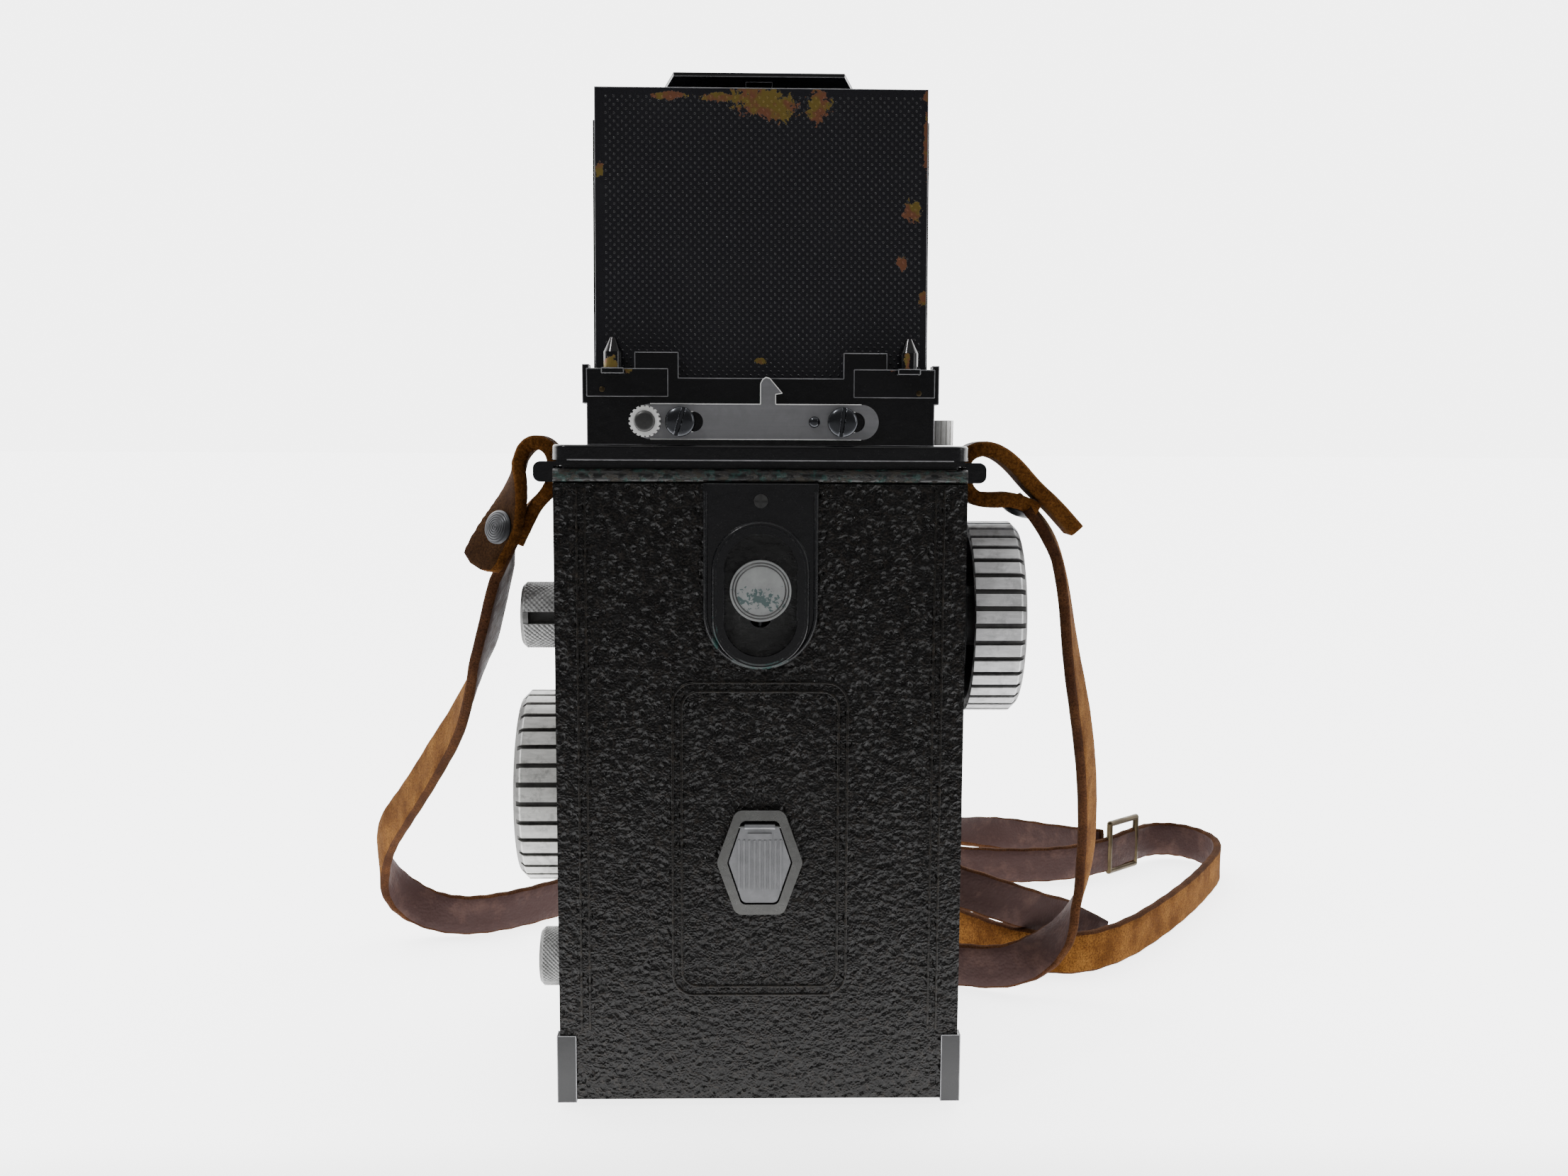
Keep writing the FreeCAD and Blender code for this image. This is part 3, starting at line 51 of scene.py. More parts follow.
forward, right, up = Vector((0, -1, 0)), Vector((-1, 0, 0)), Vector((0, 0, 1))
turn = Matrix.Rotation(YAW, 3, up)
forward, right = turn @ forward, turn @ right
turn = Matrix.Rotation(-PITCH, 3, right)
forward, up = turn @ forward, turn @ up
turn = Matrix.Rotation(ROLL, 3, forward)
right, up = turn @ right, turn @ up

lens = bpy.data.cameras.new("camera")
lens.sensor_width = SENSOR_WIDTH
lens.lens = FOCAL_LENGTH
lens.shift_x, lens.shift_y = SHIFT_X, SHIFT_Y
lens.clip_start = 0.01
camera = bpy.data.objects.new("camera", lens)
basis = Matrix((right, up, -forward)).transposed().to_4x4()
camera.matrix_world = Matrix.Translation(CAMERA_AT) @ basis
bpy.context.scene.collection.objects.link(camera)
bpy.context.scene.camera = camera


# ---------------------------------------------------------------- materials
class Paint:
    """A Principled material whose nodes are added with short calls. Texture space is the object's own."""

    def __init__(self, name, color, rough=0.5, metal=0.0, **more):
        self.m = bpy.data.materials.new(name)
        self.m.use_nodes = True
        self.tree = self.m.node_tree
        self.shader = self.tree.nodes["Principled BSDF"]
        self.shader.inputs["Base Color"].default_value = (*color, 1.0)
        self.shader.inputs["Roughness"].default_value = rough
        self.shader.inputs["Metallic"].default_value = metal
        for key, value in more.items():
            self.shader.inputs[key.replace("_", " ")].default_value = value
        self.space = self.add("ShaderNodeTexCoord").outputs["Object"]

    def add(self, kind, **props):
        node = self.tree.nodes.new(kind)
        for key, value in props.items():
            setattr(node, key, value)
        return node

    def feed(self, socket, value):
        if isinstance(value, bpy.types.NodeSocket):
            self.tree.links.new(value, socket)
        elif isinstance(value, tuple) and len(value) == 3 and socket.type == "RGBA":
            socket.default_value = (*value, 1.0)
        else:
            socket.default_value = value

    def math(self, op, a, b=0.0):
        node = self.add("ShaderNodeMath", operation=op)
        self.feed(node.inputs[0], a)
        self.feed(node.inputs[1], b)
        return node.outputs[0]

    def vector(self, op, a, b=(0.0, 0.0, 0.0)):
        node = self.add("ShaderNodeVectorMath", operation=op)
        self.feed(node.inputs[0], a)
        self.feed(node.inputs[1], b)
        return node.outputs["Value" if op in ("LENGTH", "DISTANCE", "DOT_PRODUCT") else "Vector"]

    def stretch(self, scale):
        return self.vector("MULTIPLY", self.space, scale)

    def noise(self, scale, detail=4.0, rough=0.55, space=None):
        node = self.add("ShaderNodeTexNoise")
        self.feed(node.inputs["Vector"], space or self.space)
        self.feed(node.inputs["Scale"], scale)
        self.feed(node.inputs["Detail"], detail)
        self.feed(node.inputs["Roughness"], rough)
        return node.outputs["Fac"]

    def cells(self, scale, feature="F1", space=None):
        node = self.add("ShaderNodeTexVoronoi", feature=feature)
        self.feed(node.inputs["Vector"], space or self.space)
        self.feed(node.inputs["Scale"], scale)
        return node.outputs["Distance"]

    def ramp(self, value, *stops):
        """Maps a value through (position, level) stops; a level is a number or a colour."""
        node = self.add("ShaderNodeValToRGB")
        self.feed(node.inputs[0], value)
        elements = node.color_ramp.elements
        while len(elements) < len(stops):
            elements.new(0.5)
        for element, (position, level) in zip(elements, stops):
            element.position = position
            element.color = (*level, 1.0) if isinstance(level, tuple) else (level, level, level, 1.0)
        return node.outputs["Color"]

    def mix(self, share, a, b):
        node = self.add("ShaderNodeMix", data_type="RGBA")
        self.feed(node.inputs["Factor"], share)
        self.feed(node.inputs["A"], a)
        self.feed(node.inputs["B"], b)
        return node.outputs["Result"]

    def blend(self, share, a, b):
        node = self.add("ShaderNodeMix", data_type="FLOAT")
        self.feed(node.inputs["Factor"], share)
        self.feed(node.inputs["A"], a)
        self.feed(node.inputs["B"], b)
        return node.outputs["Result"]

    def noise_vector(self, scale):
        node = self.add("ShaderNodeTexNoise")
        self.feed(node.inputs["Vector"], self.space)
        self.feed(node.inputs["Scale"], scale)
        return self.vector("SUBTRACT", node.outputs["Color"], (0.5, 0.5, 0.5))

    def parts(self):
        node = self.add("ShaderNodeSeparateXYZ")
        self.feed(node.inputs[0], self.space)
        return node.outputs["X"], node.outputs["Y"], node.outputs["Z"]

    def color(self, value):
        self.feed(self.shader.inputs["Base Color"], value)

    def rough(self, value):
        self.feed(self.shader.inputs["Roughness"], value)

    def metal(self, value):
        self.feed(self.shader.inputs["Metallic"], value)

    def bump(self, height, depth, strength=1.0):
        """Relief of the given depth in metres; the height runs from 0 to 1."""
        node = self.add("ShaderNodeBump")
        self.feed(node.inputs["Height"], height)
        self.feed(node.inputs["Distance"], depth)
        self.feed(node.inputs["Strength"], strength)
        self.feed(self.shader.inputs["Normal"], node.outputs["Normal"])

    def near(self, spots, wobble=0.5):
        """A mask around ragged spots, each (x, y, z, rx, ry, rz) in millimetres."""
        ragged = self.noise(900.0, 5.0, 0.7)
        best = None
        for x, y, z, rx, ry, rz in spots:
            offset = self.vector("SUBTRACT", self.space, (x * MM, y * MM, z * MM))
            scaled = self.vector("MULTIPLY", offset, (1 / (rx * MM), 1 / (ry * MM), 1 / (rz * MM)))
            far = self.vector("LENGTH", scaled)
            best = far if best is None else self.math("MINIMUM", best, far)
        level = self.math("SUBTRACT", self.math("MULTIPLY", ragged, 2.0 * wobble), wobble)
        reach = self.math("ADD", best, self.math("MULTIPLY", level, 3.0))
        return self.ramp(reach, (0.93, 1.0), (1.0, 0.0))


def paint_leather(name, dark=(0.0035, 0.0032, 0.0030), light=(0.0145, 0.0118, 0.0098), depth=0.00050):
    """Embossed covering: glossy irregular pebbles with deep creases and pits, random light specks, and a
    painted highlight on the ridges round the pits.
    """
    p = Paint(name, dark, 0.35, Specular_IOR_Level=0.2)
    bent = p.vector("ADD", p.space, p.vector("MULTIPLY", p.noise_vector(420.0), (0.0013, 0.0013, 0.0013)))
    pits = p.ramp(p.cells(720.0, "F1", bent), (0.16, 0.0), (0.42, 0.85), (0.7, 1.0))
    fine = p.cells(2100.0, "F1", bent)
    height = p.math("ADD", p.math("MULTIPLY", pits, 0.8), p.math("MULTIPLY", fine, 0.3))
    height = p.math("ADD", height, p.math("MULTIPLY", p.noise(260.0, 4.0, 0.6), 0.9))
    speck = p.ramp(p.noise(1500.0, 4.0, 0.75), (0.54, 0.0), (0.64, 1.0))
    region = p.ramp(p.noise(90.0, 3.0, 0.6), (0.38, 0.25), (0.68, 1.0))
    # painted highlight: the ridges round the pits are coloured lighter where they would catch the light
    ridge_highlight = p.ramp(p.cells(720.0, "DISTANCE_TO_EDGE", bent), (0.02, 0.6), (0.10, 0.0))
    ridge_highlight = p.math("MULTIPLY", ridge_highlight, p.ramp(p.noise(700.0, 3.0, 0.6), (0.46, 0.0), (0.6, 1.0)))
    color = p.mix(p.math("MULTIPLY", speck, region), dark, light)
    p.color(p.mix(ridge_highlight, color, tuple(c * 1.7 for c in light)))
    p.rough(p.ramp(p.noise(600.0, 4.0, 0.6), (0.32, 0.16), (0.68, 0.42)))
    p.bump(height, depth, 1.0)
    return p.m


BRASS = (0.15, 0.105, 0.020)
COPPER = (0.16, 0.062, 0.030)


def paint_enamel(name, spots=(), base=(0.0035, 0.0035, 0.0042), rough=(0.14, 0.32),
                 grain=0.00004, specks=0.66, tints=(BRASS, COPPER)):
    """Black enamel with fine dust and ragged spots: worn down to brass on most parts, a painted highlight
    where other tints are given.
    """
    p = Paint(name, base, rough[0], Specular_IOR_Level=0.4)
    smudge = p.noise(60.0, 5.0, 0.6)
    dust = p.ramp(p.noise(2600.0, 2.0, 0.6), (specks, 0.0), (specks + 0.1, 1.0))
    color = p.mix(p.math("MULTIPLY", dust, 0.5), base, (0.035, 0.035, 0.034))
    roughness = p.ramp(smudge, (0.3, rough[0]), (0.75, rough[1]))
    if spots:
        # spots worn to brass; on the latch ring the same spots, tinted grey and green, are a painted
        # highlight
        wear_and_highlight_spots = p.near(spots)
        tint = p.mix(p.ramp(p.noise(350.0, 3.0), (0.45, 0.0), (0.55, 1.0)), *tints)
        color = p.mix(wear_and_highlight_spots, color, tint)
        roughness = p.blend(wear_and_highlight_spots, roughness, 0.45)
        p.metal(p.math("MULTIPLY", wear_and_highlight_spots, 0.35))
        height = p.math("SUBTRACT", p.math("MULTIPLY", p.noise(500.0), 0.6), wear_and_highlight_spots)
    else:
        height = p.noise(500.0)
    p.color(color)
    p.rough(roughness)
    p.bump(height, grain, 1.0)
    return p.m


def paint_steel(name, base=(0.42, 0.42, 0.41), rough=(0.28, 0.5), grain=(30.0, 900.0, 900.0),
                stain=0.5, metal=1.0, stains=()):
    """Bare metal with a grain along one axis, fine scratches and dull stains."""
    p = Paint(name, base, rough[0], metal)
    brushed = p.noise(1.0, 3.0, 0.6, p.stretch(grain))
    patches = p.noise(240.0, 5.0, 0.65)
    dull = p.ramp(patches, (0.42, 0.0), (0.72, 1.0))
    dark = tuple(c * 0.42 for c in base)
    color = p.mix(p.math("MULTIPLY", dull, stain), base, dark)
    color = p.mix(p.ramp(brushed, (0.35, 0.35), (0.65, 0.0)), color, tuple(c * 0.65 for c in base))
    if stains:
        color = p.mix(p.math("MULTIPLY", p.near(stains, 2.2), 0.75), color, (0.03, 0.085, 0.085))
    p.color(color)
    p.rough(p.ramp(patches, (0.3, rough[0]), (0.75, rough[1])))
    p.bump(p.math("ADD", brushed, p.math("MULTIPLY", patches, 0.4)), 0.00003, 0.8)
    return p.m


def paint_knob(name, y, z, r, base=(0.62, 0.62, 0.60), pits=0.6):
    """Turned alloy knob: bright ribs with blotches, darker the further a point lies inside the given
    radius, so the grooves and the inner face go dark.
    """
    p = Paint(name, base, 0.3, 0.15)
    px, py, pz = p.parts()
    dy = p.math("SUBTRACT", py, y * MM)
    dz = p.math("SUBTRACT", pz, z * MM)
    radius = p.math("SQRT", p.math("ADD", p.math("MULTIPLY", dy, dy), p.math("MULTIPLY", dz, dz)))
    depth = p.math("MULTIPLY", p.math("SUBTRACT", r * MM, radius), 1000.0)
    blotch = p.noise(420.0, 6.0, 0.7)
    fine = p.noise(1.0, 4.0, 0.7, p.stretch((260.0, 1500.0, 1500.0)))
    # darker the further a point lies inside the radius r: down in the grooves and over the inner face
    inward_dark = p.ramp(p.math("ADD", depth, p.math("MULTIPLY", blotch, 0.3)), (0.22, 0.0), (0.62, 1.0))
    spots = p.ramp(blotch, (0.5, 0.0), (0.66, 1.0))
    color = p.mix(p.math("MULTIPLY", spots, pits), base, tuple(c * 0.34 for c in base))
    color = p.mix(p.ramp(fine, (0.42, 0.35), (0.6, 0.0)), color, tuple(c * 0.5 for c in base))
    p.color(p.mix(p.math("MULTIPLY", inward_dark, 0.85), color, (0.035, 0.033, 0.03)))
    p.rough(p.ramp(blotch, (0.3, 0.34), (0.7, 0.58)))
    p.bump(p.math("ADD", p.math("MULTIPLY", blotch, 0.6), fine), 0.00006, 0.8)
    return p.m


def paint_suede(name, base=(0.090, 0.034, 0.0062), pale=(0.21, 0.094, 0.022), dark=(0.020, 0.006, 0.0014)):
    p = Paint(name, base, 0.95, Specular_IOR_Level=0.03)
    p.shader.inputs["Sheen Weight"].default_value = 0.02
    p.shader.inputs["Sheen Roughness"].default_value = 0.5
    p.shader.inputs["Sheen Tint"].default_value = (0.9, 0.6, 0.35, 1.0)
    nap = p.noise(2400.0, 5.0, 0.75)
    cloud = p.noise(130.0, 4.0, 0.6)
    color = p.mix(p.ramp(cloud, (0.35, 0.0), (0.7, 1.0)), base, pale)
    p.color(p.mix(p.ramp(nap, (0.38, 0.75), (0.58, 0.0)), color, dark))
    p.bump(p.math("ADD", nap, p.math("MULTIPLY", cloud, 0.5)), 0.00028, 1.0)
    return p.m


def paint_smooth_hide(name, base=(0.039, 0.0215, 0.0195), pale=(0.080, 0.045, 0.036)):
    """The finished side of the strap: creased, polished, dull in patches."""
    p = Paint(name, base, 0.6, Specular_IOR_Level=0.08)
    grain = p.cells(1500.0, "F1")
    creases = p.noise(380.0, 5.0, 0.65)
    wear = p.ramp(p.noise(170.0, 5.0, 0.65), (0.5, 0.0), (0.75, 1.0))
    p.color(p.mix(p.math("MULTIPLY", wear, 0.8), base, pale))
    p.rough(p.ramp(creases, (0.3, 0.48), (0.7, 0.75)))
    p.bump(p.math("ADD", p.math("MULTIPLY", grain, -0.5), creases), 0.00018, 0.9)
    return p.m


def paint_glass(name, tint, rough=0.02, alpha=0.4):
    p = Paint(name, tint, rough, Specular_IOR_Level=0.8, Alpha=alpha)
    p.shader.inputs["Coat Weight"].default_value = 0.6
    p.shader.inputs["Coat Tint"].default_value = (0.75, 0.82, 1.0, 1.0)
    p.rough(p.ramp(p.noise(300.0, 4.0), (0.4, rough), (0.8, rough + 0.06)))
    return p.m


def paint_bead(name):
    """Blackened bronze lip with fine green corrosion and rubbed spots; flat black below the lip."""
    p = Paint(name, (0.006, 0.006, 0.0055), 0.4)
    worn = p.ramp(p.noise(900.0, 5.0, 0.72, p.stretch((0.5, 1.0, 1.0))), (0.48, 0.0), (0.60, 1.0))
    green = p.ramp(p.noise(420.0, 5.0, 0.7), (0.52, 0.0), (0.60, 1.0))
    lip = p.ramp(p.math("MULTIPLY", p.parts()[2], 5.0), (0.598, 0.0), (0.602, 1.0))
    color = p.mix(p.math("MULTIPLY", worn, 0.8), (0.0045, 0.0044, 0.0042), (0.042, 0.036, 0.027))
    color = p.mix(p.math("MULTIPLY", green, 0.7), color, (0.010, 0.048, 0.040))
    p.color(p.mix(lip, (0.003, 0.003, 0.003), color))
    p.rough(p.ramp(worn, (0.0, 0.28), (1.0, 0.55)))
    p.metal(p.math("MULTIPLY", p.math("MULTIPLY", worn, lip), 0.4))
    p.bump(p.math("ADD", worn, p.noise(900.0)), 0.00012, 0.9)
    return p.m


def paint_matt(name, base=(0.004, 0.004, 0.004), rough=0.75):
    p = Paint(name, base, rough)
    flecks = p.noise(900.0, 4.0, 0.65)
    p.color(p.mix(p.ramp(flecks, (0.55, 0.0), (0.75, 0.5)), base, tuple(c * 3.0 for c in base)))
    p.bump(flecks, 0.00006, 0.8)
    return p.m


LEATHER = paint_leather("covering")
LEATHER_LINE = paint_leather("covering_line", (0.008, 0.007, 0.0062), (0.02, 0.016, 0.012), 0.00012)
REAR_SPOTS = [
    (0.5, 30.2, 191.0, 5.0, 9.0, 2.6), (-3.0, 30.2, 189.6, 3.2, 9.0, 2.2),
    (-10.4, 30.3, 190.2, 2.0, 9.0, 3.0), (17.5, 30.2, 191.8, 3.0, 9.0, 0.7),
    (8.0, 30.2, 191.6, 3.5, 9.0, 0.8), (-30.6, 30.6, 184.0, 0.6, 9.0, 6.0),
    (-28.1, 31.3, 171.1, 1.7, 9.0, 1.9), (-26.2, 31.8, 161.8, 1.0, 9.0, 1.3),
    (-30.2, 32.1, 155.3, 0.9, 9.0, 1.2), (30.0, 30.9, 178.4, 0.9, 9.0, 1.3),
    (-0.1, 32.7, 143.6, 1.2, 9.0, 0.7), (-30.6, 31.5, 192.0, 1.0, 9.0, 0.8),
]
ENAMEL = paint_enamel("enamel")
ENAMEL_REAR = paint_enamel("enamel_rear_panel", REAR_SPOTS, (0.0098, 0.0095, 0.0122), (0.14, 0.32))
BASE_SPOTS = [(24.6, 34.0, 143.0, 1.0, 3.0, 1.6), (-24.4, 34.0, 143.0, 0.7, 3.0, 1.2)]
ENAMEL_BASE = paint_enamel("enamel_hood_base", BASE_SPOTS, rough=(0.10, 0.22))
STUD_SPOTS = [(28.0, 35.6, 142.8, 1.5, 2.2, 1.3), (-26.9, 35.9, 143.2, 0.55, 2.2, 1.8)]
BOSS = paint_enamel("enamel_boss", STUD_SPOTS, rough=(0.10, 0.2))
MATT = paint_matt("matt_black")
STEEL = paint_steel("steel", (0.22, 0.22, 0.225))
BAR_METAL = paint_steel("bar_metal", (0.24, 0.24, 0.25), (0.3, 0.5), stain=0.3, metal=0.6)
FLAP_METAL = paint_steel("flap_metal", (0.25, 0.252, 0.26), (0.3, 0.5), (500.0, 500.0, 500.0), 0.5, 0.5)
BUTTON_STAINS = [(1.2, 40.0, 99.6, 2.2, 6.0, 0.9), (-1.6, 40.0, 98.9, 1.7, 6.0, 0.8)]
BUTTON_METAL = paint_steel("button_metal", (0.38, 0.39, 0.385), (0.28, 0.45), (500.0, 500.0, 500.0),
                           0.4, 0.5, BUTTON_STAINS)
DIAL_METAL = paint_steel("dial_metal", (0.85, 0.85, 0.83), (0.4, 0.6), (500.0, 500.0, 500.0), 0.3, 0.05)
# grey metal for the thin lines that paint a highlight along sharp edges
EDGE_HIGHLIGHT_METAL = paint_steel("edge_highlight_metal", (0.24, 0.24, 0.25), (0.25, 0.5), (900.0, 900.0, 900.0), 0.9, 0.5)
STEEL_DARK = paint_steel("steel_dark", (0.10, 0.10, 0.098), (0.3, 0.55))
SCREW_METAL = paint_steel("screw_metal", (0.075, 0.078, 0.085), (0.14, 0.3), (300.0, 300.0, 300.0), 0.35)
NICKEL = paint_steel("nickel", (0.20, 0.20, 0.192), (0.2, 0.42), (500.0, 500.0, 500.0), 0.6)
BRONZE = paint_steel("bronze", (0.06, 0.045, 0.025), (0.3, 0.6), (400.0, 400.0, 400.0), 0.5)
BEAD = paint_bead("bead")
SUEDE = paint_suede("suede")
HIDE = paint_smooth_hide("smooth_hide")
EDGE = paint_suede("raw_edge", (0.100, 0.036, 0.007), (0.20, 0.082, 0.020), (0.024, 0.008, 0.002))
BAND_EDGE = paint_suede("dark_edge", (0.040, 0.016, 0.008), (0.080, 0.033, 0.013), (0.012, 0.005, 0.0025))
GLASS = paint_glass("optical_glass", (0.10, 0.12, 0.17), 0.01, 0.45)
GROUND = paint_glass("ground_glass", (0.62, 0.65, 0.66), 0.4, 0.85)
RED = paint_glass("red_glass", (0.25, 0.01, 0.01), 0.05, 0.8)
MIRROR = paint_steel("silvered", (0.85, 0.85, 0.86), (0.02, 0.08), (20.0, 20.0, 20.0), 0.1)
WOOD = paint_smooth_hide("spool_wood", (0.22, 0.12, 0.05), (0.35, 0.2, 0.09))
WIND_METAL = paint_knob("winding_alloy", 13.5, 94.0, 19.1, (0.60, 0.60, 0.60), 0.5)
FOCUS_METAL = paint_knob("focusing_alloy", 4.0, 57.3, 19.8, (0.60, 0.598, 0.57), 0.7)
KNURL_METAL = paint_knob("knurled_alloy", 13.5, 94.0, 6.75, (0.45, 0.45, 0.445), 0.6)
KNURL_LOW = paint_knob("knurled_alloy_low", 7.0, 21.0, 6.2, (0.34, 0.34, 0.335), 0.7)

PAINT_OF = {
    "body_casting": ENAMEL, "door_hinge_pin": STEEL_DARK, "top_plate": ENAMEL, "focusing_screen": GROUND,
    "base_plate": MATT, "tripod_bush": NICKEL, "body_leather": LEATHER, "dark_box": MATT, "mirror": MIRROR,
    "mirror_bars": MATT, "strap_lugs": ENAMEL, "winding_backplate": MATT, "hood_base": ENAMEL_BASE,
    "hood_bosses": BOSS, "latch_screws": SCREW_METAL, "strap_buckle": BRONZE, "lower_roller": STEEL,
    "upper_roller": STEEL, "hood_lid": ENAMEL, "magnifier_frame": MATT, "magnifier_lens": GLASS,
    "hood_rear_panel": ENAMEL_REAR, "hood_left_panel": ENAMEL, "hood_right_panel": ENAMEL,
    "latch_bar": BAR_METAL,
    "latch_knob": DIAL_METAL, "back_door": BEAD, "back_leather": LEATHER, "latch_escutcheon": ENAMEL,
    "escutcheon_screw": STEEL_DARK, "corner_guards": ENAMEL, "pressure_plate": STEEL_DARK,
    "pressure_springs": STEEL, "window_bezel": NICKEL, "window_glass": RED, "window_flap_pin": NICKEL,
    "latch_spring": STEEL, "release_button": BUTTON_METAL, "latch_bolt": STEEL, "window_flap": FLAP_METAL,
    "winding_knob": WIND_METAL, "winding_shaft": STEEL, "take_up_spool": WOOD, "counter_dial": DIAL_METAL,
    "upper_spool_knob": KNURL_METAL, "lower_spool_knob": KNURL_LOW, "focusing_knob": FOCUS_METAL,
    "focus_shaft": STEEL, "lens_board": ENAMEL, "shutter_housing": ENAMEL, "viewing_barrel": ENAMEL,
    "lens_elements": GLASS, "speed_ring": NICKEL, "aperture_lever": NICKEL, "release_lever": NICKEL,
    "cocking_lever": NICKEL, "strap_rivets": STEEL_DARK,
}
for node_name, chosen in PAINT_OF.items():
    for place in NODES[node_name].material_slots:
        place.material = chosen


# ---------------------------------------------------------------- mesh helpers
def add_mesh(name, verts, faces, body, *paints, slots=None, smooth=True, slot=None):
    mesh = bpy.data.meshes.new(name)
    mesh.from_pydata([tuple(v) for v in verts], [], faces)
    for paint in paints:
        mesh.materials.append(paint)
    if slots is not None:
        mesh.polygons.foreach_set("material_index", slots)
    mesh.polygons.foreach_set("use_smooth", [smooth] * len(mesh.polygons))
    mesh.update()
    obj = bpy.data.objects.new(name, mesh)
    bpy.context.scene.collection.objects.link(obj)
    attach(obj, body)
    return obj


def spline_points(route):
    """Points along the NURBS spline whose control points are the route."""
    curve = bpy.data.curves.new("route", "CURVE")
    curve.dimensions = "3D"
    curve.resolution_u = 8
    spline = curve.splines.new("NURBS")
    spline.points.add(len(route) - 1)
    for point, at in zip(spline.points, route):
        point.co = (at[0] * MM, at[1] * MM, at[2] * MM, 1.0)
    spline.order_u = 3
    spline.use_endpoint_u = True
    guide = bpy.data.objects.new("route", curve)
    bpy.context.scene.collection.objects.link(guide)
    bpy.context.view_layer.update()
    mesh = bpy.data.meshes.new_from_object(guide.evaluated_get(bpy.context.evaluated_depsgraph_get()))
    points = [v.co.copy() for v in mesh.vertices]
    bpy.data.objects.remove(guide)
    bpy.data.curves.remove(curve)
    bpy.data.meshes.remove(mesh)
    return points


def facing_along(points, facings):
    """The suede side's direction at each point, from the ones given at the route's points."""
    count = len(facings)
    stations = [0.0] + [i - 0.5 for i in range(1, count - 1)] + [count - 2.0]
    at = np.linspace(0.0, count - 2.0, len(points))
    columns = [np.interp(at, stations, [f[k] for f in facings]) for k in range(3)]
    return [Vector(v) for v in zip(*columns)]


BAND_HALF = 5.0 * MM


def band(name, points, facings, thick, body, half=BAND_HALF, point_end=False, wave=0.0, seed=1.0,
         edge_paint=EDGE):
    """A leather band with a suede side, a smooth side and raw edges, along the points."""
    low_side = [(-1.0, -0.62), (-0.9, -1.0), (-0.45, -1.0), (0.0, -1.0), (0.45, -1.0), (0.9, -1.0),
                (1.0, -0.62)]
    section = low_side + [(-u, -v) for u, v in low_side]
    kinds = [2, 1, 1, 1, 1, 2, 2, 2, 0, 0, 0, 0, 2, 2]
    verts, faces, slots = [], [], []
    total = len(points)
    for i, p in enumerate(points):
        ahead = points[min(i + 1, total - 1)] - points[max(i - 1, 0)]
        ahead.normalize()
        face = facings[i] - ahead * facings[i].dot(ahead)
        face.normalize()
        wide = ahead.cross(face)
        share = 1.0
        if point_end:
            left = (total - 1 - i) / total
            share = min(1.0, 0.35 + left * 60.0)
        ripple = wave * math.sin(i * 0.55 * seed) + wave * 0.6 * math.sin(i * 0.23 + seed)
        for u, v in section:
            edge = 0.0001 * math.sin(i * 1.7 + seed) * abs(u) ** 3
            rise = v * thick / 2 + ripple * (1 - u * u)
            verts.append(p + wide * (u * half * share + edge) + face * rise)
    n = len(section)
    for i in range(total - 1):
        for k in range(n):
            a, b = i * n + k, i * n + (k + 1) % n
            faces.append((a, b, b + n, a + n))
            slots.append(kinds[k])
    faces.append(tuple(reversed(range(n))))
    faces.append(tuple(range((total - 1) * n, total * n)))
    slots += [2, 2]
    obj = add_mesh(name, verts, faces, body, SUEDE, HIDE, edge_paint, slots=slots, slot="strap_leather")
    return obj


# ---------------------------------------------------------------- strap
BUCKLE_ROUTE = [
    (48.3, 16.5, 113.0), (52.2, 12.5, 101.0), (57.0, 4.0, 85.0), (64.0, -9.0, 70.0),
    (73.0, -24.0, 57.0), (83.0, -40.0, 43.0), (91.0, -54.0, 33.0), (95.0, -64.0, 23.0),
    (94.0, -71.0, 14.0), (87.0, -75.0, 7.0), (76.0, -73.0, 5.4), (64.5, -79.0, 5.4),
    (53.0, -91.5, 5.4), (38.0, -110.0, 5.4), (20.0, -134.0, 5.4), (-2.0, -154.0, 5.4),
    (-25.0, -170.0, 5.4), (-42.0, -177.5, 3.6), (-57.0, -178.0, 2.8), (-70.0, -172.0, 4.0),
    (-82.5, -162.5, 5.4), (-94.5, -150.0, 6.0), (-105.5, -136.5, 8.0),
]
BUCKLE_FACING = [
    (0.9, 0.35, 0.2), (0.95, -0.2, 0.1), (0.93, -0.3, 0.1), (0.985, 0.15, 0.08), (0.93, 0.36, 0.08),
    (0.92, 0.38, 0.05), (0.93, 0.35, -0.1), (0.96, 0.1, -0.25), (0.9, -0.5, -0.3),
    (0.4, -0.9, -0.15), (0.1, -1.0, 0.0), (0.5, -0.85, 0.0), (0.72, -0.7, 0.0), (0.76, -0.65, 0.0),
    (0.7, -0.7, 0.0), (0.6, -0.8, 0.0), (0.5, -0.86, 0.0), (0.1, -0.5, -0.9), (-0.1, -0.35, -1.0),
    (-0.35, -0.7, -0.7), (-0.6, -0.75, -0.2), (-0.7, -0.7, -0.1), (-0.75, -0.66, 0.0),
]
